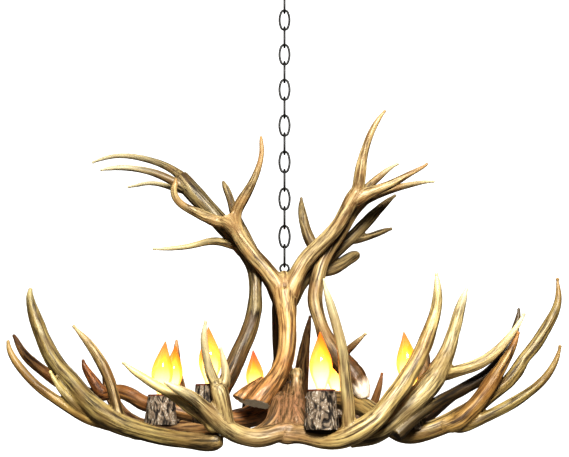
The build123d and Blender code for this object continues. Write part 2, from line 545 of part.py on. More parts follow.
with BuildPart() as front_upright:
    # stem, sawn level at its butt, and fork
    limb((-54, -99, 8, 21), (-41, -94, 24, 20.5), (-25, -86, 46, 18.4), (-8, -72, 72, 16),
         (2, -58, 104, 15), (5, -45, 140, 15), (3, -34, 175, 17), (0, -27, 206, 19.8))
    split(bisect_by=Plane(spot(-41, -94, 22), z_dir=(0.24, 0.28, 0.93)), keep=Keep.TOP)
    add(brow_stub)
    # web that fills the fork
    limb((-1, -28, 196, 16), (-1, -28, 215, 14.5), (-1, -27, 229, 11), (-1, -26, 238, 7),
         (-1, -26, 242, 3.5))
    # left branch: its rising tine and its hooked side tine
    limb((2, -30, 189, 15.6), (-11, -27, 216, 14.9), (-28, -25, 241, 14), (-51, -26, 267, 13.7),
         (-72, -30, 296, 13.7), (-86, -35, 319, 11.6))
    limb((-76, -32, 306, 10.8), (-80, -40, 337, 10), (-67, -48, 362, 9.1), (-53, -54, 386, 7.3),
         (-43, -58, 411, 5.4), (-38, -60, 440, 4.3), (-39, -60, 457, 3.3), (-39, -60, 462, 2.2))
    limb((-72, -31, 299, 10.8), (-97, -38, 323, 10.4), (-133, -48, 330, 9.6), (-160, -58, 341, 7.5),
         (-177, -66, 354, 6.7), (-181, -72, 370, 5.9), (-178, -75, 381, 3.6), (-178, -76, 384, 2.4))
    # right branch: its tall tine and its side tine
    limb((2, -30, 189, 15.6), (17, -27, 226, 14.9), (41, -25, 267, 14), (74, -30, 299, 12.9),
         (103, -37, 341, 12.5), (121, -42, 372, 12.1))
    limb((113, -40, 359, 10.8), (124, -46, 387, 10.8), (127, -51, 408, 10), (136, -57, 446, 7),
         (148, -61, 476, 5.7), (160, -63, 496, 3.8), (168, -64, 506, 2.2))
    limb((113, -39, 356, 10.8), (136, -42, 368, 10.8), (156, -44, 376, 8.7), (178, -46, 385, 7.5),
         (206, -48, 400, 5.3), (227, -49, 411, 3.7), (238, -50, 418, 2.2))
    cope(front_ring_antler, crown_cap, centre_tube, antler_dowels)
finish(front_upright, "front_upright")

with BuildPart() as back_upright:
    limb((22, 112, 32, 16), (8, 98, 61, 15.7), (-3, 80, 95, 15.2), (-6, 60, 135, 15.5),
         (-6, 42, 171, 16.3), (-3, 28, 200, 17))
    # left branch
    limb((-3, 31, 190, 13.7), (-21, 27, 224, 12.8), (-42, 27, 259, 12), (-61, 30, 294, 11.2),
         (-78, 34, 329, 10.4), (-89, 40, 357, 8.3), (-97, 46, 384, 7.1), (-106, 50, 407, 5.4),
         (-109, 51, 414, 2.6))
    # right branch and its three tines
    limb((-3, 31, 190, 14.5), (21, 27, 217, 13.2), (45, 27, 248, 12.4), (77, 31, 275, 11.6),
         (115, 38, 310, 11), (147, 46, 343, 10.5), (173, 52, 370, 7.5), (188, 56, 384, 4.5),
         (197, 58, 391, 2.4))
    limb((68, 30, 266, 10.3), (52, 31, 291, 11), (42, 36, 311, 10.8), (36, 42, 332, 9.7),
         (32, 47, 353, 8.1), (30, 51, 371, 5.6), (30, 54, 385, 2.2))
    limb((114, 38, 306, 7.8), (134, 44, 310, 7), (161, 52, 320, 6), (180, 58, 328, 4.4),
         (189, 60, 331, 2.4))
    limb((64, 30, 250, 10), (84, 37, 256, 10.6), (99, 48, 266, 10.9), (113, 60, 277, 11),
         (124, 68, 284, 9.5), (131, 73, 288, 5))
    cope(back_ring_antler, crown_cap, centre_tube, antler_dowels)
finish(back_upright, "back_upright")

with BuildPart() as left_upright:
    limb((-110, -46, 20, 14.2), (-94, -40, 56, 14), (-78, -33, 95, 14.5), (-68, -26, 119, 14.2),
         (-57, -20, 146, 14), (-50, -13, 178, 12.8), (-49, -6, 212, 11.3), (-52, -1, 247, 12.2),
         (-70, 1, 282, 13.5), (-96, 0, 314, 14.5), (-127, -2, 349, 15.4), (-161, -2, 386, 15.4),
         (-180, 0, 410, 13))
    # low side tine
    limb((-75, 0, 287, 7.6), (-97, -8, 291, 7.6), (-123, -18, 293, 6.9), (-147, -30, 285, 5.5),
         (-168, -38, 279, 4.6), (-195, -46, 275, 3.5), (-214, -50, 274, 2.2))
    # three long tips, upper, middle and inner
    limb((-163, 0, 390, 10.3), (-186, 6, 418, 8.3), (-209, 14, 434, 7), (-238, 24, 447, 6),
         (-274, 34, 457, 5), (-311, 42, 458, 4.1), (-342, 48, 450, 2.2))
    limb((-159, -4, 380, 9.4), (-194, -10, 401, 7.7), (-221, -16, 412, 6.8), (-253, -22, 418, 5.6),
         (-284, -28, 418, 4.6), (-309, -32, 413, 2.2))
    limb((-156, 2, 378, 7.7), (-181, 12, 390, 6), (-202, 22, 398, 5.2), (-224, 32, 406, 4.5),
         (-252, 42, 408, 3.7), (-277, 50, 405, 2.2))
    cope(left_ring_antler, front_upright, back_upright, antler_dowels)
finish(left_upright, "left_upright")

with BuildPart() as right_upright:
    # sawn butt with its spur, stem and the two tips behind the front upright
    limb((125, -60, 33, 9), (123, -60, 42, 12.5), (119, -58, 54, 16), (111, -56, 68, 18),
         (98, -52, 84, 17.8), (84, -48, 100, 16.8), (69, -40, 125, 14.2), (60, -31, 151, 12),
         (53, -23, 177, 12), (51, -16, 201, 12.4), (55, -10, 229, 12.2), (62, -5, 257, 12.2),
         (79, -3, 288, 12.3), (101, -5, 322, 11.9), (124, -8, 356, 11.1), (142, -11, 380, 9.4))
    limb((89, -52, 96, 7.2), (104, -64, 111, 6.3), (116, -74, 122, 4.3), (127, -82, 132, 2.2))
    limb((123, -9, 354, 8.5), (142, -15, 388, 7.6), (162, -21, 405, 6), (179, -25, 418, 3.9),
         (192, -27, 425, 2.2))
    limb((129, -8, 362, 8.5), (153, -5, 375, 8.2), (185, 0, 388, 6.9), (213, 4, 396, 5.5),
         (238, 8, 402, 3.8), (258, 10, 404, 2.2))
    cope(right_ring_antler, front_upright, back_upright, antler_dowels)
finish(right_upright, "right_upright")

RING_ANTLERS = (
    front_ring_antler, front_right_ring_antler, right_ring_antler, back_right_ring_antler,
    back_ring_antler, back_left_ring_antler, left_ring_antler, front_left_ring_antler,
)

# ---------------------------------------------------------------- lights
for number, (x, y, foot, rim) in LIGHTS.items():
    rim_plane = Plane(spot(x, y, rim))

    # bark-rough antler cup, bored for the socket and coped over the beam that it stands on
    with BuildPart() as cup:
        with BuildSketch(Plane(spot(x, y, foot))):
            Circle(CUP_FOOT_R)
        with BuildSketch(rim_plane):
            Circle(CUP_TOP_R)
        loft()
        cope(wire_bores[number], *RING_ANTLERS)
    finish(cup, f"candle_cup_{number}")

    # hollow flame-shaped glass
    with BuildPart() as bulb:
        with BuildSketch(Plane(spot(x, y, rim), x_dir=(1, 0, 0), z_dir=(0, -1, 0))):
            with BuildLine():
                outline = [GLASS_FOOT, GLASS_WAIST, GLASS_BELLY, GLASS_SHOULDER, GLASS_NECK, GLASS_TIP]
                Spline(*[(radius, up) for up, radius in outline])
                Polyline((GLASS_TIP[1], GLASS_TIP[0]), (0, GLASS_TIP[0]), (0, 0), (GLASS_FOOT[1], 0))
            make_face()
        revolve(axis=Axis(spot(x, y, rim), (0, 0, 1)))
        with BuildSketch(Plane(spot(x, y, rim), x_dir=(1, 0, 0), z_dir=(0, -1, 0))):
            with BuildLine():
                inside = [(up, radius - GLASS_WALL) for up, radius in outline[:-1]]
                Spline(*[(radius, up) for up, radius in inside])
                Polyline(
                    (inside[-1][1], inside[-1][0]), (0, inside[-1][0]), (0, 0), (inside[0][1], 0)
                )
            make_face()
        revolve(axis=Axis(spot(x, y, rim), (0, 0, 1)), mode=Mode.SUBTRACT)
    finish(bulb, f"bulb_{number}")

with BuildPart() as bulb_screw_bases:
    for x, y, foot, rim in LIGHTS.values():
        with BuildSketch(Plane(spot(x, y, rim))):
            Circle(BASE_R)
        extrude(amount=-BASE_LENGTH)
        with BuildSketch(Plane(spot(x, y, rim - BASE_LENGTH))):
            Circle(BASE_TIP_R)
        extrude(amount=BASE_LENGTH - SOCKET_BORE_DEPTH)
finish(bulb_screw_bases, "bulb_screw_bases")

with BuildPart() as lamp_sockets:
    for x, y, foot, rim in LIGHTS.values():
        with BuildSketch(Plane(spot(x, y, rim - 0.5))):
            Circle(SOCKET_R)
        extrude(amount=-SOCKET_DEPTH)
        with BuildSketch(Plane(spot(x, y, rim - 0.5))):
            Circle(BASE_R)
        extrude(amount=0.5 - SOCKET_BORE_DEPTH, mode=Mode.SUBTRACT)
finish(lamp_sockets, "lamp_sockets")
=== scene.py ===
import math

import bmesh
import bpy
import numpy as np
from mathutils import Matrix, Vector


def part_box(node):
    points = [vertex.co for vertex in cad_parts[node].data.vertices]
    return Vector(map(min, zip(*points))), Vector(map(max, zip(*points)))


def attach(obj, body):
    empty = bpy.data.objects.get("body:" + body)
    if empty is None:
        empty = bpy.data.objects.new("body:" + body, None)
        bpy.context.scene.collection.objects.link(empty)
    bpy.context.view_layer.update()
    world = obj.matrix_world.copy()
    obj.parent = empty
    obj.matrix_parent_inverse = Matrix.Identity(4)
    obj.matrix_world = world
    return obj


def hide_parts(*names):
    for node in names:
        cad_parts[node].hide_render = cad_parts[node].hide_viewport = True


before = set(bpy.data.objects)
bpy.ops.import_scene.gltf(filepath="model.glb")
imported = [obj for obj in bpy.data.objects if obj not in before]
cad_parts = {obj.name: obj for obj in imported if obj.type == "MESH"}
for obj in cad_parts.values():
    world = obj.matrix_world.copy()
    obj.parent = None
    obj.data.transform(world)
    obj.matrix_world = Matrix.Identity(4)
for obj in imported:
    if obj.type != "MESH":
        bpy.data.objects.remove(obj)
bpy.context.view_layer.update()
scene = bpy.context.scene

# ------------------------------------------------------------ the room and the camera
# The chandelier hangs in a bright white room: a pale floor well below it, a strong window light above the
# camera, and weaker lights from the left and from behind. The camera is level with the ring and looks up.
CAMERA_BACK = 1.5
CAMERA_TILT = math.radians(12)
FOCAL_PIXELS = 900
PHOTO_WIDTH = 569
SENSOR_WIDTH = 36
RING_HEIGHT = -0.8
FLOOR_BELOW_RING = 0.9
FLOOR_REACH = 60.0
FLOOR_BOUNCE = (0.3, 0.28, 0.25, 1)
ROOM_LIGHT = 0.05
AIM_ABOVE_RING = 0.15
WHITE = (1, 1, 1, 1)

camera = bpy.data.objects.new("camera", bpy.data.cameras.new("camera"))
scene.collection.objects.link(camera)
camera.data.sensor_width = SENSOR_WIDTH
camera.data.lens = FOCAL_PIXELS * SENSOR_WIDTH / PHOTO_WIDTH
camera.location = (0, -CAMERA_BACK, RING_HEIGHT)
camera.rotation_euler = (math.pi / 2 + CAMERA_TILT, 0, 0)
scene.camera = camera


def white_to_camera(tree, white_kind, other_kind, output_kind):
    """Shows the camera plain white, and all other light a second shader, whose node it gives back."""
    tree.nodes.clear()
    white = tree.nodes.new(white_kind)
    white.inputs["Color"].default_value = WHITE
    other = tree.nodes.new(other_kind)
    choice = tree.nodes.new("ShaderNodeMixShader")
    output = tree.nodes.new(output_kind)
    seen = tree.nodes.new("ShaderNodeLightPath").outputs["Is Camera Ray"]
    tree.links.new(seen, choice.inputs["Fac"])
    tree.links.new(other.outputs[0], choice.inputs[1])
    tree.links.new(white.outputs[0], choice.inputs[2])
    tree.links.new(choice.outputs["Shader"], output.inputs["Surface"])
    return other


room_white = bpy.data.materials.new("room_white")
room_white.use_nodes = True
bounced = white_to_camera(
    room_white.node_tree, "ShaderNodeEmission", "ShaderNodeBsdfDiffuse", "ShaderNodeOutputMaterial"
)
bounced.inputs["Color"].default_value = FLOOR_BOUNCE

floor_z = RING_HEIGHT - FLOOR_BELOW_RING
corners = [(x * FLOOR_REACH, y * FLOOR_REACH, floor_z) for x, y in ((-1, -1), (1, -1), (1, 1), (-1, 1))]
floor_mesh = bpy.data.meshes.new("floor")
floor_mesh.from_pydata(corners, [], [(0, 1, 2, 3)])
floor = bpy.data.objects.new("floor", floor_mesh)
floor.data.materials.append(room_white)
scene.collection.objects.link(floor)

world = bpy.data.worlds.new("white_room")
scene.world = world
world.use_nodes = True
ambient = white_to_camera(
    world.node_tree, "ShaderNodeBackground", "ShaderNodeBackground", "ShaderNodeOutputWorld"
)
ambient.inputs["Color"].default_value = WHITE
ambient.inputs["Strength"].default_value = ROOM_LIGHT
scene.view_settings.view_transform = "Standard"
scene.view_settings.look = "High Contrast"


def soft_light(name, place, size, watts, colour):
    """A square soft light aimed at the middle of the antlers."""
    light = bpy.data.lights.new(name, "AREA")
    light.size = size
    light.energy = watts
    light.color = colour
    lamp = bpy.data.objects.new(name, light)
    lamp.location = place
    aim = Vector((0, 0, RING_HEIGHT + AIM_ABOVE_RING)) - Vector(place)
    lamp.rotation_euler = aim.to_track_quat("-Z", "Y").to_euler()
    scene.collection.objects.link(lamp)


soft_light("window_light", (0.2, -1.8, 0.3), 0.5, 68, (1.0, 0.985, 0.94))
soft_light("side_light", (-1.9, -1.1, 0.6), 1.0, 6, (1.0, 0.97, 0.92))
soft_light("back_light", (0.4, 1.9, 0.8), 1.2, 8, (1.0, 0.98, 0.95))


# ------------------------------------------------------------ front upright antler
# Shed antlers are solid bone: tan grooved bark, brown where the velvet was, ivory where the tines rub.
# This one stands in front on its oblique sawn butt, pinned to its neighbours. Its shape is the packed
# solid's, remeshed fine, and its limbs' centre lines and radii, in millimetres, guide the grooves.
HORN_MESH = 0.0018
HORN_SOFTENING = 6
WELD_GAP = 1e-6
GUIDE_STEP = 0.004
GUIDE_SOFTENING = 6
JOIN_WIDTH = 0.004
GROOVE_WIDE = 0.0046
GROOVE_STRETCH = 14
SCRATCH_WIDE = 0.0024
SCRATCH_STRETCH = 12
GROOVE_EDGE = 2.6
SCRATCH_EDGE = 2.2
GROOVE_SHARE = 0.65
GROOVE_DEPTH = 0.0012
TIP_GIRTH_LIMIT = 2.9
TIP_SWELL = 1.0
TIP_REACH = 2.2
LUMP_SIZE = 0.034
LUMP_HEIGHT = 0.0011
KNOB_SIZE = 0.0062
SMOOTH_GIRTH = 0.0045
GROOVED_GIRTH = 0.010
MILLIMETRE = 0.001
NO_TINT = (1, 1, 1)


def ring_place(x, y, up):
    """A place in metres from millimetres, its height counted from the lamp ring."""
    return Vector((x, y, up)) * MILLIMETRE + Vector((0, 0, RING_HEIGHT))


def horn_noise(points, seed):
    """Smooth noise from -1 to 1 at each row of points, with one lump to the unit."""
    cell = np.floor(points).astype(np.int64)
    part = points - cell
    part = part * part * (3 - 2 * part)
    total = np.zeros(len(points))
    for corner in range(8):
        step = np.array([corner & 1, corner >> 1 & 1, corner >> 2 & 1])
        key = ((cell + step) * np.array([73856093, 19349663, 83492791])).sum(axis=1) + seed * 265443
        key = np.bitwise_xor(key, key >> 13) * 1274126177
        value = (np.bitwise_xor(key, key >> 15) & 0xFFFFFF) / 0x7FFFFF - 1.0
        total += np.where(step, part, 1 - part).prod(axis=1) * value
    return total


def limb_guide(stations):
    """A limb's centre line at even steps, with its girth, its direction and two directions across it."""
    stations = np.array(stations, float) * MILLIMETRE
    stations[:, 2] += RING_HEIGHT
    run = np.concatenate([[0], np.cumsum(np.linalg.norm(np.diff(stations[:, :3], axis=0), axis=1))])
    along = np.linspace(0, run[-1], max(4, int(run[-1] / GUIDE_STEP)))
    line = np.stack([np.interp(along, run, stations[:, i]) for i in range(4)], axis=1)
    for _ in range(GUIDE_SOFTENING):
        line[1:-1] = (line[:-2] + 2 * line[1:-1] + line[2:]) / 4
    ahead = np.gradient(line[:, :3], axis=0)
    ahead /= np.linalg.norm(ahead, axis=1)[:, None]
    side = np.zeros_like(ahead)
    last = np.cross(ahead[0], (0.3, 0.5, 0.8))
    for i, direction in enumerate(ahead):
        last = last - direction * last.dot(direction)
        last /= np.linalg.norm(last)
        side[i] = last
    return along, line[:, :3], line[:, 3], ahead, side, np.cross(ahead, side)


def solid_mesh(thing):
    """The mesh that an object's modifiers make of it; the modifiers are then removed."""
    made = bpy.data.meshes.new_from_object(thing.evaluated_get(bpy.context.evaluated_depsgraph_get()))
    thing.modifiers.clear()
    return made


def coronet_nodes(material):
    """A ring of pearls, as round the burr of a shed antler: beads of uneven size on a circle."""
    tree = bpy.data.node_groups.new("coronet", "GeometryNodeTree")
    wanted = {"Ring Radius": "Float", "Pearls": "Int", "Pearl Radius": "Float", "Seed": "Int"}
    for name, kind in wanted.items():
        tree.interface.new_socket(name, in_out="INPUT", socket_type="NodeSocket" + kind)
    tree.interface.new_socket("Geometry", in_out="OUTPUT", socket_type="NodeSocketGeometry")
    asked = tree.nodes.new("NodeGroupInput").outputs
    ring = tree.nodes.new("GeometryNodeMeshCircle")
    pearl = tree.nodes.new("GeometryNodeMeshIcoSphere")
    pearl.inputs["Subdivisions"].default_value = 2
    uneven = tree.nodes.new("FunctionNodeRandomValue")
    uneven.data_type = "FLOAT"
    smallest, largest = uneven.inputs[2], uneven.inputs[3]
    smallest.default_value = 0.6
    largest.default_value = 1.3
    place_pearls = tree.nodes.new("GeometryNodeInstanceOnPoints")
    realize = tree.nodes.new("GeometryNodeRealizeInstances")
    set_skin = tree.nodes.new("GeometryNodeSetMaterial")
    set_skin.inputs["Material"].default_value = material
    done = tree.nodes.new("NodeGroupOutput")
    for source, target in (
        (asked["Pearls"], ring.inputs["Vertices"]),
        (asked["Ring Radius"], ring.inputs["Radius"]),
        (asked["Pearl Radius"], pearl.inputs["Radius"]),
        (asked["Seed"], uneven.inputs["Seed"]),
        (ring.outputs["Mesh"], place_pearls.inputs["Points"]),
        (pearl.outputs["Mesh"], place_pearls.inputs["Instance"]),
        (uneven.outputs[1], place_pearls.inputs["Scale"]),
        (place_pearls.outputs["Instances"], realize.inputs["Geometry"]),
        (realize.outputs["Geometry"], set_skin.inputs["Geometry"]),
        (set_skin.outputs["Geometry"], done.inputs["Geometry"]),
    ):
        tree.links.new(source, target)
    return tree


def coronet(tree, centre, axis, radius, pearls, pearl_radius, seed):
    """The mesh of one ring of pearls, set round a limb."""
    carrier = bpy.data.objects.new("coronet", bpy.data.meshes.new("coronet"))
    scene.collection.objects.link(carrier)
    modifier = carrier.modifiers.new("coronet", "NODES")
    modifier.node_group = tree
    wanted = {
        "Ring Radius": radius * MILLIMETRE,
        "Pearls": pearls,
        "Pearl Radius": pearl_radius * MILLIMETRE,
        "Seed": seed,
    }
    for socket in tree.interface.items_tree:
        if socket.in_out == "INPUT":
            modifier[socket.identifier] = wanted[socket.name]
    mesh = solid_mesh(carrier)
    bpy.data.objects.remove(carrier)
    turn = Vector(axis).to_track_quat("Z", "Y").to_matrix().to_4x4()
    mesh.transform(Matrix.Translation(ring_place(*centre)) @ turn)
    return mesh


def remesh_evenly(thing, size, softening=0):
    """Welds an object's loose triangles, and remakes its skin of even quads, softened if asked."""
    scene.collection.objects.link(thing)
    thing.modifiers.new("weld", "WELD").merge_threshold = WELD_GAP
    remesh = thing.modifiers.new("remesh", "REMESH")
    remesh.mode = "VOXEL"
    remesh.voxel_size = size
    if softening:
        soften = thing.modifiers.new("soften", "SMOOTH")
        soften.factor = 0.5
        soften.iterations = softening
    thing.data = solid_mesh(thing)


def fine_horn(node, limbs, coronets):
    """A copy of the node's solid with round tips and pearls, remeshed to small even quads and softened."""
    shape = bmesh.new()
    shape.from_mesh(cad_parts[node].data)
    for pearls in coronets:
        shape.from_mesh(pearls)
    for stations in limbs:
        *tip, girth = stations[-1]
        if girth > TIP_GIRTH_LIMIT:
            continue
        inward = Vector(stations[-2][:3]) - Vector(tip)
        middle = Vector(tip) - inward.normalized() * (TIP_REACH - girth)
        bmesh.ops.create_icosphere(
            shape,
            subdivisions=3,
            radius=(girth + TIP_SWELL) * MILLIMETRE,
            matrix=Matrix.Translation(ring_place(*middle)),
        )
    mesh = bpy.data.meshes.new(node + "_horn")
    shape.to_mesh(mesh)
    shape.free()
    horn = bpy.data.objects.new(node + "_horn", mesh)
    remesh_evenly(horn, HORN_MESH * (1), HORN_SOFTENING)
    return horn


def point_rows(mesh, what):
    """The places or the normals of a mesh's points, one to a row."""
    rows = np.empty(len(mesh.vertices) * 3)
    mesh.vertices.foreach_get(what, rows)
    return rows.reshape(-1, 3)


def store(mesh, name, values):
    """Keeps a number or a row of three for each point of a mesh, for its material to read."""
    kind, key = ("FLOAT_VECTOR", "vector") if values.ndim == 2 else ("FLOAT", "value")
    mesh.attributes.new(name, kind, "POINT").data.foreach_set(key, values.ravel())


def coat(mesh, finish, smooth=False):
    """Gives a mesh one material, and smooth shading if asked."""
    mesh.materials.clear()
    mesh.materials.append(finish)
    if smooth:
        mesh.polygons.foreach_set("use_smooth", [True] * len(mesh.polygons))
        mesh.update()


def dress_antler(node, limbs, tints, rough_spots=(), coronets=(), **tones):
    """Replaces an antler's plain solid by its grooved horn, in its own skin; each limb has its tint."""
    skin = antler_skin(node + "_horn", **tones)
    pearls = coronet_nodes(skin) if coronets else None
    horn = fine_horn(node, limbs, [coronet(pearls, *ring) for ring in coronets])
    mesh = horn.data
    places = point_rows(mesh, "co")
    normals = point_rows(mesh, "normal")
    count = len(places)
    weights = np.zeros(count)
    grooves = np.zeros(count)
    girths = np.zeros(count)
    nearest = np.full(count, np.inf)
    grain = np.zeros((count, 3))
    tint = np.zeros((count, 3))
    for number, stations in enumerate(limbs):
        along, line, girth, ahead, side, up = limb_guide(stations)
        gaps = (places**2).sum(axis=1)[:, None] - 2 * places @ line.T + (line**2).sum(axis=1)
        spot = gaps.argmin(axis=1)
        offset = places - line[spot]
        down_limb = along[spot] + (offset * ahead[spot]).sum(axis=1)
        across = np.stack([(offset * side[spot]).sum(axis=1), (offset * up[spot]).sum(axis=1)], axis=1)
        outside = np.sqrt(np.maximum(gaps[np.arange(count), spot], 0)) - girth[spot]
        share = np.exp(-np.clip(outside, -0.02, 0.05) / JOIN_WIDTH)
        wide = np.column_stack([across / GROOVE_WIDE, down_limb / (GROOVE_WIDE * GROOVE_STRETCH)])
        fine = np.column_stack([across / SCRATCH_WIDE, down_limb / (SCRATCH_WIDE * SCRATCH_STRETCH)])
        seed = number * 7 + len(node)
        valley = 1 - np.clip(np.abs(horn_noise(wide, seed)) * GROOVE_EDGE, 0, 1)
        scratch = 1 - np.clip(np.abs(horn_noise(fine, seed + 3)) * SCRATCH_EDGE, 0, 1)
        weights += share
        grooves += share * (GROOVE_SHARE * valley + (1 - GROOVE_SHARE) * scratch)
        girths += share * girth[spot]
        tint += share[:, None] * np.array(tints.get(number, NO_TINT))
        closer = outside < nearest
        nearest[closer] = outside[closer]
        grain[closer] = np.column_stack([across + number * 0.1, down_limb])[closer]
    grooves /= weights
    girths /= weights
    tint /= weights[:, None]

    worn = np.clip((girths - SMOOTH_GIRTH) / (GROOVED_GIRTH - SMOOTH_GIRTH), 0, 1)
    lift = -grooves * worn * GROOVE_DEPTH + horn_noise(places / LUMP_SIZE, 5) * LUMP_HEIGHT * worn
    for middle, reach, height in rough_spots:
        away = np.linalg.norm(places - np.array(ring_place(*middle)), axis=1)
        near = np.clip(1 - away / (reach * MILLIMETRE), 0, 1) ** 0.6
        knobs = horn_noise(places / KNOB_SIZE, 11) + 0.6 * horn_noise(places / (KNOB_SIZE / 2), 12)
        lift += near * knobs * height * MILLIMETRE
        grooves = np.clip(grooves + near * np.clip(-knobs, 0, 1) * 0.8, 0, 1)
    mesh.vertices.foreach_set("co", (places + normals * lift[:, None]).ravel())
    store(mesh, "groove", grooves)
    store(mesh, "girth", girths)
    store(mesh, "grain", grain)
    store(mesh, "tint", tint)
    coat(mesh, skin, smooth=True)
    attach(horn, "antler_body")
    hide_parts(node)


def feed(tree, value, socket):
    """Links another node's output to a socket, or sets the socket to a plain value."""
    if hasattr(value, "links"):
        tree.links.new(value, socket)
    else:
        socket.default_value = value


def add_node(tree, kind, **settings):
    """A shader node of a kind, with its settings."""
    made = tree.nodes.new(kind)
    for key, value in settings.items():
        setattr(made, key, value)
    return made


def stored(tree, name, part="Fac"):
    """What the mesh keeps under a name."""
    return add_node(tree, "ShaderNodeAttribute", attribute_name=name).outputs[part]


def place_on(tree):
    """The place on the object, in metres."""
    return add_node(tree, "ShaderNodeTexCoord").outputs["Object"]


def noise(tree, where, scale, detail=2.0, roughness=0.5):
    """Noise at a place; its lumps are one over the scale wide."""
    made = add_node(tree, "ShaderNodeTexNoise")
    for name, value in (("Vector", where), ("Scale", scale), ("Detail", detail), ("Roughness", roughness)):
        feed(tree, value, made.inputs[name])
    return made.outputs["Fac"]


def colour_mix(tree, amount, low, high, way="MIX"):
    """A colour between low and high, or another blend of them; each is a socket or a plain colour."""
    mixer = add_node(tree, "ShaderNodeMix", data_type="RGBA", blend_type=way)
    for number, value in ((0, amount), (6, low), (7, high)):
        feed(tree, value, mixer.inputs[number])
    return mixer.outputs[2]


def sum_of(tree, operation, first, second=0.0, third=0.0, clamp=False):
    """One step of arithmetic on sockets or plain numbers."""
    step = add_node(tree, "ShaderNodeMath", operation=operation, use_clamp=clamp)
    for socket, value in zip(step.inputs, (first, second, third)):
        feed(tree, value, socket)
    return step.outputs[0]


def ramp_down(tree, value, full, none):
    """1 where the value is at or below full, 0 at or above none, smooth between."""
    ramp = add_node(tree, "ShaderNodeMapRange", interpolation_type="SMOOTHSTEP")
    for name, number in (
        ("Value", value), ("From Min", full), ("From Max", none), ("To Min", 1.0), ("To Max", 0.0)
    ):
        feed(tree, number, ramp.inputs[name])
    return ramp.outputs["Result"]


def new_finish(name, **plain):
    """A new material with its tree and its shader, whose plain sockets are set by name."""
    made = bpy.data.materials.new(name)
    made.use_nodes = True
    shader = made.node_tree.nodes["Principled BSDF"]
    for socket, value in plain.items():
        shader.inputs[socket.replace("_", " ")].default_value = value
    return made, made.node_tree, shader


def bumps(tree, shader, height, distance, strength=1.0):
    """Raises a surface by a height, for the light alone."""
    bump = add_node(tree, "ShaderNodeBump")
    for name, value in (("Height", height), ("Distance", distance), ("Strength", strength)):
        feed(tree, value, bump.inputs[name])
    feed(tree, bump.outputs["Normal"], shader.inputs["Normal"])


# The skin of horn, shared by all twelve antlers: streaks, stains, pale tips, a dark foot and a sawn end,
# whose pale bone is brightened near white as a painted highlight.
PATCH_SIZE = 0.045
PORE_SIZE = 0.0012
DIRT_BIAS = 3.43
TIP_STRENGTH = 0.85
# The sawn end's pale tone is the bone's own colour, brightened near white as a painted highlight.
CUT_PALE_AND_HIGHLIGHT = (0.95, 0.9, 0.8, 1)
CUT_DARK = (0.62, 0.5, 0.36, 1)
horn_skin = bpy.data.node_groups.new("horn_skin", "ShaderNodeTree")
for way, kind, names in (
    ("INPUT", "Color", ("Ridge Colour", "Groove Colour", "Stain Colour", "Tip Colour", "Foot Colour")),
    ("INPUT", "Float", ("Stain", "Tip Girth", "Foot Reach", "Cut Reach", "Cut Spread")),
    ("INPUT", "Vector", ("Foot Place", "Cut Place", "Cut Facing")),
    ("OUTPUT", "Color", ("Colour",)),
    ("OUTPUT", "Float", ("Roughness", "Height")),
):
    for name in names:
        horn_skin.interface.new_socket(name, in_out=way, socket_type="NodeSocket" + kind)
given = add_node(horn_skin, "NodeGroupInput").outputs
result = add_node(horn_skin, "NodeGroupOutput").inputs
grain = stored(horn_skin, "grain", "Vector")
place = place_on(horn_skin)


def streaks(width, length, detail):
    """Noise drawn out along the grain: width and length of a streak in metres."""
    stretch = add_node(horn_skin, "ShaderNodeVectorMath", operation="MULTIPLY")
    feed(horn_skin, grain, stretch.inputs[0])
    feed(horn_skin, (1 / width, 1 / width, 1 / length), stretch.inputs[1])
    return noise(horn_skin, stretch.outputs[0], 1.0, detail, 0.6)


fibre = streaks(0.0015, 0.028, 4)
stripe = streaks(0.0042, 0.075, 3)
band = streaks(0.011, 0.14, 3)
patch = noise(horn_skin, place, 1 / PATCH_SIZE, 3)
pore = noise(horn_skin, place, 1 / PORE_SIZE, 2)
dirt = 0.0
for pattern, weight in ((fibre, 2.1), (stripe, 3.0), (stored(horn_skin, "groove"), 0.75), (band, 2.2)):
    dirt = sum_of(horn_skin, "MULTIPLY_ADD", pattern, weight, dirt)
dirt = sum_of(horn_skin, "SUBTRACT", dirt, DIRT_BIAS, clamp=True)
stained = sum_of(horn_skin, "SUBTRACT", 1.0, ramp_down(horn_skin, patch, 0.42, 0.68))
stained = sum_of(horn_skin, "MULTIPLY", stained, given["Stain"], clamp=True)
tone = colour_mix(horn_skin, dirt, given["Ridge Colour"], given["Groove Colour"])
tone = colour_mix(horn_skin, stained, tone, given["Stain Colour"])
tip = ramp_down(horn_skin, stored(horn_skin, "girth"), 0.002, given["Tip Girth"])
tip = sum_of(horn_skin, "MULTIPLY", tip, TIP_STRENGTH)
tone = colour_mix(horn_skin, tip, tone, given["Tip Colour"])
tone = colour_mix(horn_skin, 1.0, tone, stored(horn_skin, "tint", "Vector"), "MULTIPLY")


def nearness(centre, reach):
    """1 at a place, falling to 0 at a reach from it, with a ragged edge."""
    away = add_node(horn_skin, "ShaderNodeVectorMath", operation="DISTANCE")
    feed(horn_skin, place, away.inputs[0])
    feed(horn_skin, centre, away.inputs[1])
    ragged = sum_of(horn_skin, "MULTIPLY_ADD", band, reach, away.outputs["Value"])
    ragged = sum_of(horn_skin, "SUBTRACT", ragged, sum_of(horn_skin, "MULTIPLY", reach, 0.5))
    return ramp_down(horn_skin, ragged, 0.0, reach)


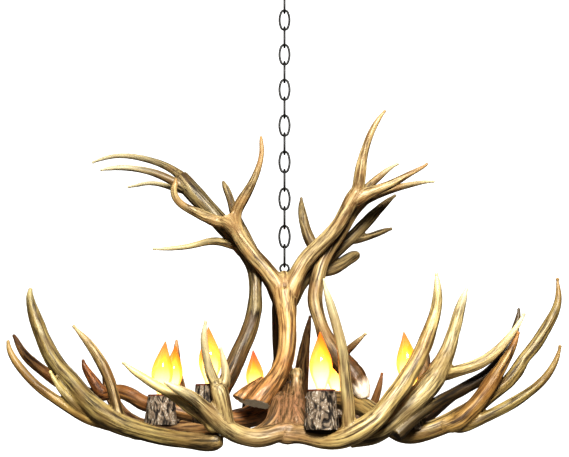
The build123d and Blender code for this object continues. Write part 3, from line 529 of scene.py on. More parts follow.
foot = nearness(given["Foot Place"], given["Foot Reach"])
foot_tone = colour_mix(horn_skin, dirt, given["Foot Colour"], given["Groove Colour"])
tone = colour_mix(horn_skin, foot, tone, foot_tone)
facing = add_node(horn_skin, "ShaderNodeVectorMath", operation="DOT_PRODUCT")
feed(horn_skin, add_node(horn_skin, "ShaderNodeNewGeometry").outputs["Normal"], facing.inputs[0])
feed(horn_skin, given["Cut Facing"], facing.inputs[1])
sawn = sum_of(horn_skin, "MULTIPLY_ADD", facing.outputs["Value"], 4.0, given["Cut Spread"])
sawn = sum_of(horn_skin, "SUBTRACT", sawn, 2.6, clamp=True)
sawn = sum_of(horn_skin, "MULTIPLY", sawn, nearness(given["Cut Place"], given["Cut Reach"]), clamp=True)
sawn = sum_of(horn_skin, "MULTIPLY", sawn, 3.0, clamp=True)
# The sawn end: pale bone, brightened near white as a painted highlight.
tone = colour_mix(horn_skin, sawn, tone, colour_mix(horn_skin, pore, CUT_PALE_AND_HIGHLIGHT, CUT_DARK))
feed(horn_skin, tone, result["Colour"])
feed(horn_skin, sum_of(horn_skin, "MULTIPLY_ADD", dirt, 0.25, 0.42), result["Roughness"])
height = sum_of(horn_skin, "MULTIPLY_ADD", fibre, -0.8, sum_of(horn_skin, "MULTIPLY", pore, 0.25))
feed(horn_skin, height, result["Height"])

NO_CUT = ((0, 0, 500), (0, 0, 1), 1)


def antler_skin(name, ridge, groove, stain, stain_amount, tip, tip_girth, foot, cut=NO_CUT, spread=0):
    """An antler's own material: its colours, how far up the tips are pale, and where its foot darkens."""
    skin, tree, shader = new_finish(
        name, Specular_IOR_Level=0.45, Coat_Weight=0.15, Coat_Roughness=0.35
    )
    horn = add_node(tree, "ShaderNodeGroup", node_tree=horn_skin)
    foot_colour, foot_place, foot_reach = foot
    cut_place, cut_facing, cut_reach = cut
    for socket, value in (
        ("Ridge Colour", (*ridge, 1)),
        ("Groove Colour", (*groove, 1)),
        ("Stain Colour", (*stain, 1)),
        ("Stain", stain_amount),
        ("Tip Colour", (*tip, 1)),
        ("Tip Girth", tip_girth * MILLIMETRE),
        ("Foot Colour", (*foot_colour, 1)),
        ("Foot Place", ring_place(*foot_place)),
        ("Foot Reach", foot_reach * MILLIMETRE),
        ("Cut Place", ring_place(*cut_place)),
        ("Cut Facing", Vector(cut_facing).normalized()),
        ("Cut Reach", cut_reach * MILLIMETRE),
        ("Cut Spread", spread),
    ):
        horn.inputs[socket].default_value = value
    feed(tree, horn.outputs["Colour"], shader.inputs["Base Color"])
    feed(tree, horn.outputs["Roughness"], shader.inputs["Roughness"])
    bumps(tree, shader, horn.outputs["Height"], 0.0007, 0.8)
    return skin


limbs = [
    [(-54, -99, 8, 21), (-41, -94, 24, 20.5), (-25, -86, 46, 18.4), (-8, -72, 72, 16), (2, -58, 104, 15),
     (5, -45, 140, 15), (3, -34, 175, 17), (0, -27, 206, 19.8)],
    [(-1, -28, 196, 16), (-1, -28, 215, 14.5), (-1, -27, 229, 11), (-1, -26, 238, 7),
     (-1, -26, 242, 3.5)],
    [(2, -30, 189, 15.6), (-11, -27, 216, 14.9), (-28, -25, 241, 14), (-51, -26, 267, 13.7),
     (-72, -30, 296, 13.7), (-86, -35, 319, 11.6)],
    [(-76, -32, 306, 10.8), (-80, -40, 337, 10), (-67, -48, 362, 9.1), (-53, -54, 386, 7.3),
     (-43, -58, 411, 5.4), (-38, -60, 440, 4.3), (-39, -60, 457, 3.3), (-39, -60, 462, 2.2)],
    [(-72, -31, 299, 10.8), (-97, -38, 323, 10.4), (-133, -48, 330, 9.6), (-160, -58, 341, 7.5),
     (-177, -66, 354, 6.7), (-181, -72, 370, 5.9), (-178, -75, 381, 3.6), (-178, -76, 384, 2.4)],
    [(2, -30, 189, 15.6), (17, -27, 226, 14.9), (41, -25, 267, 14), (74, -30, 299, 12.9),
     (103, -37, 341, 12.5), (121, -42, 372, 12.1)],
    [(113, -40, 359, 10.8), (124, -46, 387, 10.8), (127, -51, 408, 10), (136, -57, 446, 7),
     (148, -61, 476, 5.7), (160, -63, 496, 3.8), (168, -64, 506, 2.2)],
    [(113, -39, 356, 10.8), (136, -42, 368, 10.8), (156, -44, 376, 8.7), (178, -46, 385, 7.5),
     (206, -48, 400, 5.3), (227, -49, 411, 3.7), (238, -50, 418, 2.2)],
]
dress_antler(
    "front_upright", limbs, ridge=(0.54, 0.42, 0.215), groove=(0.09, 0.051, 0.018),
    stain=(0.34, 0.2, 0.08), stain_amount=0.6, tip=(0.4, 0.24, 0.1), tip_girth=7,
    foot=((0.42, 0.21, 0.08), (-35, -90, 30), 105), cut=((-44, -94, 24), (-0.24, -0.28, -0.93), 44),
    tints={0: (1.1, 0.93, 0.76)}, rough_spots=[((-48, -92, 22), 26, 0.8), ((-74, -82, 27), 20, 0.8)],
)

# ------------------------------------------------------------ back upright antler
# A darker shed antler behind the tube, turned away from the camera. It is natural bone like the rest,
# is pinned to the tube, and its butt stands on the back antler of the ring.
limbs = [
    [(22, 112, 32, 16), (8, 98, 61, 15.7), (-3, 80, 95, 15.2), (-6, 60, 135, 15.5), (-6, 42, 171, 16.3),
     (-3, 28, 200, 17)],
    [(-3, 31, 190, 13.7), (-21, 27, 224, 12.8), (-42, 27, 259, 12), (-61, 30, 294, 11.2),
     (-78, 34, 329, 10.4), (-89, 40, 357, 8.3), (-97, 46, 384, 7.1), (-106, 50, 407, 5.4),
     (-109, 51, 414, 2.6)],
    [(-3, 31, 190, 14.5), (21, 27, 217, 13.2), (45, 27, 248, 12.4), (77, 31, 275, 11.6),
     (115, 38, 310, 11), (147, 46, 343, 10.5), (173, 52, 370, 7.5), (188, 56, 384, 4.5),
     (197, 58, 391, 2.4)],
    [(68, 30, 266, 10.3), (52, 31, 291, 11), (42, 36, 311, 10.8), (36, 42, 332, 9.7), (32, 47, 353, 8.1),
     (30, 51, 371, 5.6), (30, 54, 385, 2.2)],
    [(114, 38, 306, 7.8), (134, 44, 310, 7), (161, 52, 320, 6), (180, 58, 328, 4.4),
     (189, 60, 331, 2.4)],
    [(64, 30, 250, 10), (84, 37, 256, 10.6), (99, 48, 266, 10.9), (113, 60, 277, 11),
     (124, 68, 284, 9.5), (131, 73, 288, 5)],
]
dress_antler(
    "back_upright", limbs, ridge=(0.33, 0.25, 0.125), groove=(0.042, 0.027, 0.0108),
    stain=(0.16, 0.1, 0.04), stain_amount=0.6, tip=(0.2, 0.15, 0.08), tip_girth=6,
    foot=((0.2, 0.11, 0.045), (22, 112, 32), 120), tints={0: (0.75, 0.72, 0.7)},
)

# ------------------------------------------------------------ left upright antler
# A slender shed antler that curves out behind the front upright to three long tips, rubbed pale. Its
# butt stands on the ring, where it is pinned.
limbs = [
    [(-110, -46, 20, 14.2), (-94, -40, 56, 14), (-78, -33, 95, 14.5), (-68, -26, 119, 14.2),
     (-57, -20, 146, 14), (-50, -13, 178, 12.8), (-49, -6, 212, 11.3), (-52, -1, 247, 12.2),
     (-70, 1, 282, 13.5), (-96, 0, 314, 14.5), (-127, -2, 349, 15.4), (-161, -2, 386, 15.4),
     (-180, 0, 410, 13)],
    [(-75, 0, 287, 7.6), (-97, -8, 291, 7.6), (-123, -18, 293, 6.9), (-147, -30, 285, 5.5),
     (-168, -38, 279, 4.6), (-195, -46, 275, 3.5), (-214, -50, 274, 2.2)],
    [(-163, 0, 390, 10.3), (-186, 6, 418, 8.3), (-209, 14, 434, 7), (-238, 24, 447, 6),
     (-274, 34, 457, 5), (-311, 42, 458, 4.1), (-342, 48, 450, 2.2)],
    [(-159, -4, 380, 9.4), (-194, -10, 401, 7.7), (-221, -16, 412, 6.8), (-253, -22, 418, 5.6),
     (-284, -28, 418, 4.6), (-309, -32, 413, 2.2)],
    [(-156, 2, 378, 7.7), (-181, 12, 390, 6), (-202, 22, 398, 5.2), (-224, 32, 406, 4.5),
     (-252, 42, 408, 3.7), (-277, 50, 405, 2.2)],
]
dress_antler(
    "left_upright", limbs, ridge=(0.38, 0.3, 0.155), groove=(0.036, 0.0222, 0.009),
    stain=(0.2, 0.12, 0.05), stain_amount=0.7, tip=(0.6, 0.54, 0.36), tip_girth=8,
    foot=((0.17, 0.08, 0.028), (-105, -44, 30), 140), tints={0: (0.68, 0.66, 0.6), 1: (1, 0.97, 0.85)},
)

# ------------------------------------------------------------ right upright antler
# A slim shed antler with dark bark. Its butt, sawn across, is pale bone brightened to white as a painted
# highlight; it comes down on the right antler of the ring, where it is pinned, as it is to the front
# upright.
limbs = [
    [(125, -60, 33, 9), (123, -60, 42, 12.5), (119, -58, 54, 16), (111, -56, 68, 18),
     (98, -52, 84, 17.8), (84, -48, 100, 16.8), (69, -40, 125, 14.2), (60, -31, 151, 12),
     (53, -23, 177, 12), (51, -16, 201, 12.4), (55, -10, 229, 12.2), (62, -5, 257, 12.2),
     (79, -3, 288, 12.3), (101, -5, 322, 11.9), (124, -8, 356, 11.1), (142, -11, 380, 9.4)],
    [(89, -52, 96, 7.2), (104, -64, 111, 6.3), (116, -74, 122, 4.3), (127, -82, 132, 2.2)],
    [(123, -9, 354, 8.5), (142, -15, 388, 7.6), (162, -21, 405, 6), (179, -25, 418, 3.9),
     (192, -27, 425, 2.2)],
    [(129, -8, 362, 8.5), (153, -5, 375, 8.2), (185, 0, 388, 6.9), (213, 4, 396, 5.5),
     (238, 8, 402, 3.8), (258, 10, 404, 2.2)],
]
dress_antler(
    "right_upright", limbs, ridge=(0.44, 0.325, 0.16), groove=(0.054, 0.03, 0.0108),
    stain=(0.24, 0.13, 0.05), stain_amount=0.6, tip=(0.6, 0.5, 0.3), tip_girth=7,
    foot=((0.13, 0.06, 0.022), (104, -54, 80), 90), cut=((126, -64, 38), (0.5, -0.4, -0.75), 30),
    spread=5, tints={}, rough_spots=[((112, -56, 64), 34, 1.4)],
)

# ------------------------------------------------------------ front ring antler
# The broadest antler of the ring: a short stem from the hub ends in a web, with beams to both sides. It
# still has the rough burr where it was shed, with two rings of pearls. Its stem is pinned to the hub.
limbs = [
    [(7, -32, 37, 12), (9, -58, 47, 14), (8, -95, 33, 16), (7, -130, 16, 19), (5, -162, -2, 19),
     (1, -186, -17, 14)],
    [(19, -94, 74, 9.5), (19, -99, 66, 11), (19, -106, 52, 10), (20, -118, 35, 11), (20, -136, 17, 13.5),
     (16, -154, 4, 15), (12, -170, -7, 15)],
    [(-5, -120, 38, 6), (-11, -140, 26, 9), (-14, -158, 13, 10.2), (-18, -172, 0, 9.4),
     (-32, -184, -14, 8.6), (-49, -192, -20, 7)],
    [(20, -156, 12, 11), (25, -171, -1, 11.5), (36, -186, -16, 10.5)],
    [(16, -186, -17, 13), (-9, -190, -18, 13.5), (-37, -196, -25, 13), (-65, -204, -20, 13),
     (-90, -214, -4, 12.5), (-108, -222, 13, 10.8), (-121, -228, 25, 9.2), (-135, -233, 35, 7.8),
     (-149, -238, 42, 6), (-158, -241, 47, 4), (-164, -243, 50, 2.2)],
    [(-92, -208, -10, 11), (-110, -211, 2, 10), (-124, -212, 11, 9.1), (-141, -212, 22, 8.4),
     (-159, -213, 35, 7.7), (-179, -215, 46, 7), (-198, -217, 58, 6.2), (-212, -220, 67, 4.9),
     (-221, -222, 74, 3.4), (-226, -224, 78, 2.2)],
    [(-79, -208, -14, 12), (-85, -214, 13, 12.5), (-90, -217, 33, 13.5), (-95, -218, 48, 10.5)],
    [(-92, -218, 40, 9), (-101, -219, 57, 7.7), (-108, -222, 78, 6.8), (-112, -226, 99, 6),
     (-113, -231, 117, 4.9), (-112, -234, 128, 3), (-111, -236, 135, 2.2)],
    [(-91, -217, 40, 9), (-83, -214, 60, 7), (-85, -215, 77, 5.4), (-88, -218, 90, 3.5),
     (-90, -221, 99, 2.2)],
    [(-9, -188, -18, 13), (22, -191, -20, 14), (53, -199, -27, 13.7), (80, -208, -25, 14.7),
     (103, -212, -15, 15.4), (124, -211, -2, 14.7), (144, -207, 19, 13.4), (164, -202, 43, 12.8),
     (183, -197, 71, 12.4), (199, -192, 98, 11.8), (212, -188, 128, 10.5), (221, -186, 154, 9),
     (225, -186, 179, 7.3), (225, -187, 197, 4.9), (224, -188, 210, 2.4)],
    [(92, -210, -19, 10), (89, -214, 5, 10), (88, -218, 31, 9.2), (85, -222, 57, 8.8),
     (80, -230, 101, 8), (71, -236, 137, 7), (63, -240, 164, 5.8), (58, -242, 180, 3.5),
     (56, -243, 193, 2.2)],
]
dress_antler(
    "front_ring_antler", limbs, ridge=(0.5, 0.4, 0.2), groove=(0.069, 0.0432, 0.0168),
    stain=(0.26, 0.16, 0.065), stain_amount=0.55, tip=(0.7, 0.61, 0.38), tip_girth=10,
    foot=((0.34, 0.19, 0.11), (9, -150, 5), 95),
    tints={
        0: (0.78, 0.6, 0.55), 1: (0.78, 0.75, 0.74), 2: (0.84, 0.67, 0.62), 3: (0.84, 0.67, 0.6),
        5: (1.08, 1.04, 0.86), 9: (1.08, 1.03, 0.92),
    },
    rough_spots=[((18, -104, 56), 26, 1.6), ((16, -128, 26), 26, 1.0)],
    coronets=[
        ((19, -97, 69), (0, -0.35, 0.94), 10.5, 17, 2.4, 3),
        ((19, -108, 48), (0, -0.4, 0.92), 10.0, 16, 2.3, 8),
    ],
)

# ------------------------------------------------------------ front right ring antler
# A shed antler that lies against the end of the front one, where it is pinned. It carries the ring on to
# the right, with a pale side tine. The beam below that tine is tinted near black: painted shade, for the
# shadow it lies in.
limbs = [
    [(93, -186, -28, 11.5), (122, -177, -23, 13), (147, -168, -10, 14), (171, -160, 10, 15.2),
     (198, -153, 34, 16.8), (222, -146, 61, 17), (239, -138, 88, 13.6), (250, -136, 112, 11.2),
     (259, -134, 139, 9.7), (268, -132, 167, 7.8), (275, -131, 186, 5), (279, -130, 196, 2.4)],
    [(160, -170, -22, 10.8), (190, -158, 3, 9.9), (220, -140, 22, 9.3), (253, -118, 37, 9.4),
     (284, -104, 52, 9.6), (311, -100, 68, 9.2), (333, -98, 89, 8.5), (348, -97, 112, 7.4),
     (359, -96, 137, 6.2), (365, -95, 156, 4.3), (367, -94, 169, 2.2)],
    [(230, -141, 66, 10.5), (256, -136, 71, 9.4), (281, -134, 78, 8.5), (302, -134, 88, 8.3),
     (321, -136, 103, 7.4), (336, -139, 119, 6), (350, -142, 137, 4.4), (361, -145, 156, 2.2)],
]
dress_antler(
    "front_right_ring_antler", limbs, ridge=(0.5, 0.395, 0.195), groove=(0.066, 0.045, 0.018),
    stain=(0.23, 0.155, 0.065), stain_amount=0.6, tip=(0.74, 0.66, 0.45), tip_girth=10,
    # The second limb's near-black tint is painted shade: that beam lies in shadow below the pale side tine.
    foot=((0.36, 0.25, 0.12), (93, -186, -28), 60), tints={1: (0.14, 0.11, 0.085), 2: (1.15, 1.1, 1)},
)

# ------------------------------------------------------------ right ring antler
# A shed antler pinned to the hub. It passes under the sixth light and ends in the outermost tips on the
# right.
limbs = [
    [(32, -8, 24, 13), (70, -18, 31, 14), (101, -38, 28, 15), (128, -62, 17, 15), (152, -92, -3, 13.5),
     (179, -118, -21, 14), (214, -124, -16, 14.5), (250, -124, -2, 14.5), (285, -122, 19, 13),
     (313, -119, 38, 10.5), (338, -116, 56, 10), (361, -112, 83, 9.9), (384, -108, 110, 9.4),
     (403, -105, 136, 8.5), (418, -103, 159, 7.5), (427, -102, 181, 6), (429, -101, 199, 4),
     (429, -100, 216, 2.4)],
    [(238, -128, -8, 12), (261, -133, 1, 13), (281, -135, 19, 12.6), (299, -136, 40, 11.8),
     (313, -137, 60, 10.8), (326, -138, 79, 9.2), (338, -139, 98, 7), (347, -140, 115, 4.4),
     (352, -141, 128, 2.2)],
    [(247, -124, -8, 9), (278, -128, -6, 8.6), (308, -132, 8, 8.4), (337, -136, 23, 8.2),
     (364, -140, 40, 7.6), (386, -143, 59, 6.4), (400, -146, 78, 5), (408, -148, 95, 3.5),
     (411, -150, 107, 2.2)],
]
dress_antler(
    "right_ring_antler", limbs, ridge=(0.45, 0.36, 0.175), groove=(0.057, 0.036, 0.0132),
    stain=(0.24, 0.15, 0.06), stain_amount=0.6, tip=(0.42, 0.28, 0.13), tip_girth=7,
    foot=((0.2, 0.1, 0.04), (32, -8, 24), 130),
    tints={0: (0.82, 0.77, 0.64), 1: (0.95, 0.72, 0.5), 2: (0.8, 0.76, 0.62)},
)

# ------------------------------------------------------------ back right ring antler
# The darkest antler of the ring, pinned to the hub. One of its tips shows between the pale ones, and the
# rest lies behind them.
limbs = [
    [(24, 18, 4, 13), (78, 38, -6, 13.5), (140, 52, -10, 14), (206, 62, -8, 14), (236, 63, 4, 13),
     (262, 62, 24, 12), (302, 54, 51, 11), (346, 43, 78, 9.5), (372, 34, 112, 8), (386, 28, 142, 6),
     (393, 25, 164, 2.2)],
    [(150, 54, -10, 11), (192, 96, -6, 12), (228, 144, 10, 12), (250, 186, 40, 12), (263, 208, 78, 10),
     (270, 220, 106, 7), (273, 225, 125, 2.4)],
    [(216, 128, 4, 10), (238, 176, 12, 10), (254, 226, 34, 9), (264, 266, 68, 6.5), (267, 286, 92, 4.5),
     (268, 293, 106, 2.2)],
]
dress_antler(
    "back_right_ring_antler", limbs, ridge=(0.15, 0.09, 0.045), groove=(0.021, 0.0108, 0.0048),
    stain=(0.08, 0.045, 0.02), stain_amount=0.7, tip=(0.1, 0.055, 0.025), tip_girth=9,
    foot=((0.2, 0.1, 0.04), (24, 18, 4), 100), tints={},
)

# ------------------------------------------------------------ back ring antler
# The back half of the ring, a red-brown antler pinned to the hub. Like the front one it has a stem, a
# web and beams to both sides.
limbs = [
    [(4, 30, 14, 15), (6, 90, 10, 18), (8, 140, 6, 21), (10, 182, 6, 22)],
    [(40, 200, 6, 16), (4, 196, 6, 19), (-30, 200, 8, 17.5), (-64, 206, 8, 17.5), (-106, 216, 0, 16),
     (-150, 226, -6, 15), (-190, 242, 2, 14), (-218, 262, 22, 12), (-238, 282, 50, 9),
     (-248, 294, 80, 6.5), (-251, 300, 100, 2.4)],
    [(-140, 224, -5, 13), (-170, 258, 0, 13), (-196, 300, 16, 12), (-216, 334, 44, 9),
     (-225, 352, 78, 6.5), (-229, 360, 104, 2.4)],
    [(-24, 200, 6, 16), (14, 196, 6, 19), (54, 196, 6, 17.5), (96, 196, 4, 17.5), (140, 192, 2, 16),
     (182, 186, 8, 14.5), (222, 182, 28, 13), (248, 184, 60, 10.5), (260, 192, 94, 7.5),
     (264, 198, 120, 2.4)],
    [(112, 196, 3, 13), (128, 238, 4, 13.5), (142, 284, 12, 12.5), (152, 324, 32, 9.5),
     (157, 346, 56, 6.5), (159, 354, 74, 2.4)],
    [(-8, 204, 8, 13), (-16, 254, 12, 13.5), (-22, 302, 30, 12.5), (-24, 338, 62, 9), (-22, 356, 100, 6),
     (-20, 362, 124, 2.4)],
    [(26, 190, 10, 14), (28, 172, 44, 14), (31, 152, 84, 13), (36, 136, 126, 9.5), (42, 126, 160, 6),
     (46, 122, 182, 2.4)],
    [(150, 190, 6, 9), (163, 176, 30, 8.5), (172, 162, 58, 6), (177, 154, 82, 2.4)],
]
dress_antler(
    "back_ring_antler", limbs, ridge=(0.34, 0.22, 0.1), groove=(0.051, 0.024, 0.0096),
    stain=(0.2, 0.1, 0.04), stain_amount=0.6, tip=(0.3, 0.15, 0.07), tip_girth=8,
    foot=((0.28, 0.13, 0.05), (4, 30, 14), 120), tints={},
)

# ------------------------------------------------------------ back left ring antler
# A red-brown antler pinned to the hub, which carries the second light. Its side shows between the lights
# on the left.
limbs = [
    [(-24, 20, 3, 16.5), (-82, 48, -7, 17.5), (-138, 72, -14, 17.5), (-194, 92, -17, 17.5),
     (-250, 104, -18, 16), (-308, 110, -5, 14), (-356, 110, 21, 12), (-388, 106, 52, 9),
     (-406, 102, 76, 5.5), (-412, 100, 88, 2.4)],
    [(-172, 84, -13, 13), (-178, 112, 17, 13), (-188, 126, 58, 12), (-194, 136, 98, 8.5),
     (-196, 140, 126, 5.5), (-196, 142, 140, 2.4)],
    [(-212, 96, -17, 13.5), (-252, 136, -11, 14), (-292, 176, 7, 13), (-322, 206, 40, 10.5),
     (-338, 224, 76, 7), (-344, 232, 104, 2.4)],
]
dress_antler(
    "back_left_ring_antler", limbs, ridge=(0.4, 0.25, 0.11), groove=(0.06, 0.027, 0.0108),
    stain=(0.24, 0.12, 0.05), stain_amount=0.6, tip=(0.55, 0.3, 0.14), tip_girth=8,
    foot=((0.22, 0.1, 0.04), (-24, 20, 3), 100), tints={},
)

# ------------------------------------------------------------ left ring antler
# A shed antler pinned to the hub. It runs under the first light and ends in the outermost tips on the
# left, which are dark.
limbs = [
    [(-30, -22, 14, 16), (-61, -34, 3, 16), (-89, -46, 0, 14), (-120, -56, 4, 13.3),
     (-151, -62, 10, 12.5), (-185, -64, 17, 12.5), (-216, -59, 24, 12.6), (-240, -55, 36, 12.5),
     (-264, -49, 44, 12), (-290, -40, 40, 11.6), (-316, -29, 40, 11.3), (-342, -18, 49, 10.9),
     (-367, -8, 60, 10.8), (-388, 0, 72, 10.2), (-410, 7, 87, 9.2), (-430, 14, 103, 7.8),
     (-446, 20, 122, 5.8), (-457, 24, 139, 2.4)],
    [(-282, -42, 38, 10.5), (-300, -45, 54, 9.6), (-309, -47, 67, 8), (-316, -50, 78, 6),
     (-320, -52, 87, 4), (-321, -53, 92, 2.2)],
]
dress_antler(
    "left_ring_antler", limbs, ridge=(0.42, 0.33, 0.17), groove=(0.048, 0.0282, 0.0108),
    stain=(0.2, 0.12, 0.05), stain_amount=0.7, tip=(0.13, 0.09, 0.05), tip_girth=8,
    foot=((0.3, 0.14, 0.05), (-30, -22, 14), 130), tints={0: (0.8, 0.56, 0.4), 1: (0.95, 0.52, 0.33)},
)

# ------------------------------------------------------------ front left ring antler
# A shed antler with a rounded butt, which lies against the left end of the front one and is pinned
# there. It rises to the tall left tip.
limbs = [
    [(-88, -203, -28, 8), (-97, -200, -29, 12.5), (-115, -193, -30, 13), (-136, -182, -29, 12),
     (-172, -168, -24, 13), (-204, -158, -17, 13.5), (-239, -148, -6, 14.7), (-270, -140, 10, 15.5),
     (-298, -133, 32, 15), (-321, -127, 56, 14.2), (-343, -122, 79, 13.4), (-359, -118, 102, 12.6),
     (-373, -114, 128, 11.6), (-384, -112, 152, 10), (-392, -110, 173, 8), (-396, -109, 189, 5.6),
     (-396, -108, 199, 2.8)],
    [(-206, -146, -20, 8.2), (-234, -134, -16, 8.4), (-265, -130, -7, 8.6), (-290, -130, 1, 8.6),
     (-313, -130, 12, 8.4), (-334, -131, 25, 8.2), (-357, -132, 40, 7.9), (-377, -134, 56, 7.2),
     (-395, -136, 75, 6.4), (-409, -138, 94, 5.2), (-415, -139, 108, 3.8), (-416, -140, 115, 2.4)],
    [(-290, -134, 8, 6), (-306, -135, 18, 6.2), (-320, -137, 30, 6), (-332, -139, 43, 5.4),
     (-342, -140, 57, 4.2), (-350, -140, 70, 2.2)],
    [(-239, -148, -5, 8.8), (-248, -144, 21, 8.6), (-257, -142, 48, 8.5), (-269, -141, 75, 8.4),
     (-284, -142, 99, 7.5), (-297, -144, 116, 6), (-308, -147, 128, 3.8), (-316, -149, 137, 2.2)],
]
dress_antler(
    "front_left_ring_antler", limbs, ridge=(0.47, 0.385, 0.195), groove=(0.06, 0.0402, 0.0156),
    stain=(0.23, 0.15, 0.06), stain_amount=0.6, tip=(0.6, 0.53, 0.33), tip_girth=9,
    foot=((0.3, 0.2, 0.09), (-110, -196, -30), 50),
    tints={0: (0.78, 0.74, 0.61), 1: (0.7, 0.54, 0.36), 2: (1.05, 1, 0.78), 3: (0.92, 0.8, 0.68)},
    rough_spots=[((-108, -195, -29), 16, 0.8)],
)

# ------------------------------------------------------------ candle cups
# Eight short sleeves sawn from the thick, bark-rough foot of an antler. Each stands over its beam, cut to
# fit it, and is bored from the top for the lamp socket.
CUP_MESH = 0.0012
CUP_GIRTH = 0.021
BORE_GIRTH = 0.0125
BORE_EDGE = 0.003
RIDGE_WIDE = 0.0036
RIDGE_LONG = 0.013
RIDGE_DEPTH = 0.0022
RIDGE_SWAY = 0.25
FLAKE_LONG = 0.0045
BARK_PALE = (0.30, 0.24, 0.175, 1)
BARK_DARK = (0.12, 0.08, 0.05, 1)
# The near-white crest tone is a painted highlight on the raised bark.
BARK_CREST_HIGHLIGHT = (0.8, 0.76, 0.68, 1)
# The near-black crack tone is painted shade in the sunken cracks.
BARK_CRACK_SHADE = (0.014, 0.009, 0.006, 1)
# The dark red-brown rim tone is painted shade along each cup's top.
CUP_RIM_SHADE = (0.12, 0.035, 0.015, 1)

bark_skin, tree, shader = new_finish("bark_skin", Roughness=0.75)
bark = stored(tree, "bark")
speckle = noise(tree, place_on(tree), 420, 4)
tone = colour_mix(tree, noise(tree, place_on(tree), 90), BARK_DARK, BARK_PALE)
# Painted highlight: where the bark stands raised, the tone turns near white.
crest_highlight = sum_of(tree, "MULTIPLY_ADD", speckle, 3.2, -1.55)
crest_highlight = sum_of(tree, "MULTIPLY_ADD", bark, -1.6, crest_highlight, clamp=True)
tone = colour_mix(tree, crest_highlight, tone, BARK_CREST_HIGHLIGHT)
# Painted shade: where the bark is sunk in its cracks, the tone turns near black.
crack_shade = sum_of(tree, "MULTIPLY_ADD", speckle, 1.2, -0.7)
crack_shade = sum_of(tree, "MULTIPLY_ADD", bark, 1.9, crack_shade, clamp=True)
tone = colour_mix(tree, crack_shade, tone, BARK_CRACK_SHADE)
# Painted shade: a dark red-brown band along each cup's top rim.
tone = colour_mix(tree, ramp_down(tree, stored(tree, "below_rim"), 0.0012, 0.0035), tone, CUP_RIM_SHADE)
feed(tree, tone, shader.inputs["Base Color"])
bumps(tree, shader, speckle, 0.0006)

for number in range(1, 9):
    node = f"candle_cup_{number}"
    cup = bpy.data.objects.new(node + "_bark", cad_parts[node].data.copy())
    remesh_evenly(cup, CUP_MESH)
    low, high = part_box(f"bulb_{number}")
    places = point_rows(cup.data, "co")
    out = places - np.array(((low.x + high.x) / 2, (low.y + high.y) / 2, 0))
    out[:, 2] = 0
    away = np.linalg.norm(out, axis=1)
    out /= np.maximum(away, WELD_GAP)[:, None]
    side = np.clip((away - BORE_GIRTH) / BORE_EDGE, 0, 1)
    turn = np.arctan2(out[:, 1], out[:, 0])
    turn += horn_noise(np.column_stack([out[:, :2] * 2, places[:, 2] / 0.02]), number) * RIDGE_SWAY
    round_it = np.column_stack([np.cos(turn), np.sin(turn)]) * CUP_GIRTH / RIDGE_WIDE
    wide = np.column_stack([round_it, places[:, 2] / RIDGE_LONG])
    fine = np.column_stack([round_it * 2.0, places[:, 2] / FLAKE_LONG])
    ridges = 1 - np.clip(np.abs(horn_noise(wide, number + 20)) * 2.4, 0, 1)
    bark = np.clip(0.7 * ridges + 0.45 * horn_noise(fine, number + 40), 0, 1)
    lift = (0.35 * horn_noise(places / 0.012, number) - bark) * RIDGE_DEPTH * side
    places += out * lift[:, None]
    cup.data.vertices.foreach_set("co", places.ravel())
    store(cup.data, "bark", bark * side)
    store(cup.data, "below_rim", low.z - places[:, 2])
    coat(cup.data, bark_skin, smooth=True)
    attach(cup, "antler_body")
    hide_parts(node)

# ------------------------------------------------------------ candle bulbs
# Eight lit flame-shaped bulbs of thin amber glass, blown with a slightly bent tip. The glow inside is
# white at the foot, yellow at the belly and orange towards the tip.
FLAME_OUTLINE = [
    (0.000, 0.0068), (0.006, 0.0086), (0.012, 0.0112), (0.022, 0.0151), (0.032, 0.0168), (0.042, 0.0157),
    (0.052, 0.0126), (0.060, 0.0093), (0.068, 0.0061), (0.074, 0.0038), (0.079, 0.0019), (0.082, 0.0005),
]
FLAME_HEIGHT = 0.082
FLAME_ROWS = 40
TIP_LEAN = 0.0042
ROUND_SIDES = 48
LEAN_TOWARDS = {1: 10, 2: -10, 3: 160, 4: 100, 5: 190, 6: 180, 7: 90, 8: 0}
GLOW_SIZE = 0.72
GLOW_LIFT = 0.003
GLASS_TONES = [
    (0.0, (1.0, 0.72, 0.30)), (0.3, (1.0, 0.50, 0.09)), (0.58, (0.95, 0.30, 0.03)), (0.9, (0.6, 0.13, 0.02))
]
GLOW_TONES = [
    (0.0, (1.0, 0.95, 0.75)), (0.35, (1.0, 0.92, 0.6)), (0.62, (1.0, 0.66, 0.16)), (0.95, (1.0, 0.3, 0.03))
]


def lit_finish(name, stops, strength, **plain):
    """A shining material whose colour changes up the bulb, by the height kept in the mesh."""
    made, tree, shader = new_finish(name, Emission_Strength=strength, **plain)
    ramp = add_node(tree, "ShaderNodeValToRGB")
    feed(tree, stored(tree, "glow"), ramp.inputs["Fac"])
    while len(ramp.color_ramp.elements) < len(stops):
        ramp.color_ramp.elements.new(0.5)
    for element, (share, colour) in zip(ramp.color_ramp.elements, stops):
        element.position = share
        element.color = (*colour, 1)
    feed(tree, ramp.outputs["Color"], shader.inputs["Base Color"])
    feed(tree, ramp.outputs["Color"], shader.inputs["Emission Color"])
    return made


amber_glass = lit_finish("amber_glass", GLASS_TONES, 0.85, Roughness=0.1, Alpha=0.76)
flame_glow = lit_finish("flame_glow", GLOW_TONES, 2.0)


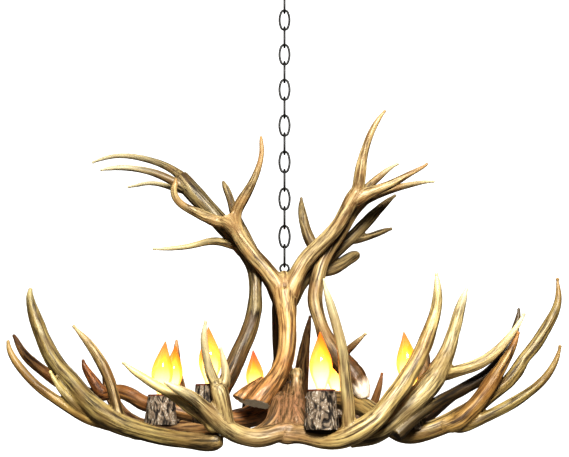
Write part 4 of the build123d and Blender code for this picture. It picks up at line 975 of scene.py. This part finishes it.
def flame_shape(name, foot, size, lean, finish):
    """A closed bulb turned from the flame's outline, scaled about its own axis, with its tip leaning."""
    up = np.linspace(0, FLAME_HEIGHT, FLAME_ROWS)
    radius = np.interp(up, *np.array(FLAME_OUTLINE).T)
    radius[1:-1] = (radius[:-2] + 2 * radius[1:-1] + radius[2:]) / 4
    share = up[:, None] / FLAME_HEIGHT
    turn = np.arange(ROUND_SIDES) * 2 * math.pi / ROUND_SIDES
    x = foot.x + size * np.outer(radius, np.cos(turn)) + TIP_LEAN * share**3 * math.cos(lean)
    y = foot.y + size * np.outer(radius, np.sin(turn)) + TIP_LEAN * share**3 * math.sin(lean)
    z = np.broadcast_to(foot.z + size * up[:, None], x.shape)
    rings = np.arange(x.size).reshape(x.shape)
    beside = np.roll(rings, -1, axis=1)
    sides = np.stack([rings[:-1], beside[:-1], beside[1:], rings[1:]], axis=2).reshape(-1, 4)
    mesh = bpy.data.meshes.new(name)
    mesh.from_pydata(
        np.stack([x, y, z], axis=2).reshape(-1, 3).tolist(),
        [],
        sides.tolist() + [rings[0, ::-1].tolist(), rings[-1].tolist()],
    )
    store(mesh, "glow", np.broadcast_to(share, x.shape).ravel())
    coat(mesh, finish, smooth=True)
    shape = bpy.data.objects.new(name, mesh)
    scene.collection.objects.link(shape)
    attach(shape, "antler_body")
    return shape


for number, degrees in LEAN_TOWARDS.items():
    low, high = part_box(f"bulb_{number}")
    foot = Vector(((low.x + high.x) / 2, (low.y + high.y) / 2, low.z))
    lean = math.radians(degrees)
    glass = flame_shape(f"bulb_{number}_glass", foot, 1.0, lean, amber_glass)
    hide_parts(f"bulb_{number}")
    flame_shape(f"bulb_{number}_glow", foot + Vector((0, 0, GLOW_LIFT)), GLOW_SIZE, lean, flame_glow)

# ------------------------------------------------------------ wiring hub, tube and crown
# A turned steel hub takes the wiring and the stems of the ring. A tube goes up from it to the crown cap
# and its loop. All of it has satin black paint, slightly uneven and worn to a faint sheen.
PAINT_DARK = (0.004, 0.004, 0.004, 1)
PAINT_WORN = (0.012, 0.011, 0.010, 1)
black_steel, tree, shader = new_finish("black_steel", Metallic=0.1)
wear = noise(tree, place_on(tree), 260, 4)
feed(tree, colour_mix(tree, wear, PAINT_DARK, PAINT_WORN), shader.inputs["Base Color"])
feed(tree, sum_of(tree, "MULTIPLY_ADD", wear, 0.25, 0.38), shader.inputs["Roughness"])
bumps(tree, shader, wear, 0.0003)
for node in ("wiring_hub", "hub_cover", "centre_tube", "crown_cap", "hanger_loop"):
    coat(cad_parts[node].data, black_steel)

# ------------------------------------------------------------ lamp chain
# Fifteen links of round steel wire, bent and closed, in the same black paint. Each hangs in the one above
# it, a quarter turn round.
for number in range(1, 16):
    coat(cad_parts[f"chain_link_{number:02d}"].data, black_steel)

# ------------------------------------------------------------ canopy
# A spun steel dish, painted black, which covers the ceiling box. A collar nut holds it up, and the loop
# below it takes the top link.
for node in ("canopy", "canopy_loop", "canopy_collar_nut"):
    coat(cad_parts[node].data, black_steel)

# ------------------------------------------------------------ fittings inside
# Zinc-plated crossbar, nipple, nuts and dowels, a green ground screw, the brass bulb bases, sockets and a
# terminal block moulded in black, and brown sleeved wires.


def plain_finish(name, low, high, rough, metal, size):
    """A material whose colour and sheen drift a little between two tones."""
    made, tree, shader = new_finish(name, Metallic=metal)
    drift = noise(tree, place_on(tree), 1 / size, 3)
    feed(tree, colour_mix(tree, drift, (*low, 1), (*high, 1)), shader.inputs["Base Color"])
    feed(tree, sum_of(tree, "MULTIPLY_ADD", drift, 0.2, rough), shader.inputs["Roughness"])
    return made


zinc = plain_finish("zinc_plate", (0.45, 0.45, 0.43), (0.7, 0.7, 0.68), 0.25, 1.0, 0.004)
brass = plain_finish("bulb_brass", (0.6, 0.42, 0.18), (0.8, 0.62, 0.32), 0.2, 1.0, 0.003)
moulded = plain_finish("moulded_black", (0.02, 0.018, 0.016), (0.05, 0.045, 0.04), 0.4, 0.0, 0.003)
sleeve = plain_finish("wire_sleeve", (0.09, 0.05, 0.03), (0.16, 0.09, 0.05), 0.5, 0.0, 0.004)
green = plain_finish("ground_green", (0.02, 0.2, 0.06), (0.05, 0.32, 0.1), 0.35, 0.2, 0.002)
for node, finish in {
    "mounting_crossbar": zinc,
    "crossbar_nipple": zinc,
    "tube_locknuts": zinc,
    "antler_dowels": zinc,
    "bulb_screw_bases": brass,
    "lamp_sockets": moulded,
    "terminal_block": moulded,
    "harness_wires": sleeve,
    "ground_screw": green,
}.items():
    coat(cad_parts[node].data, finish)
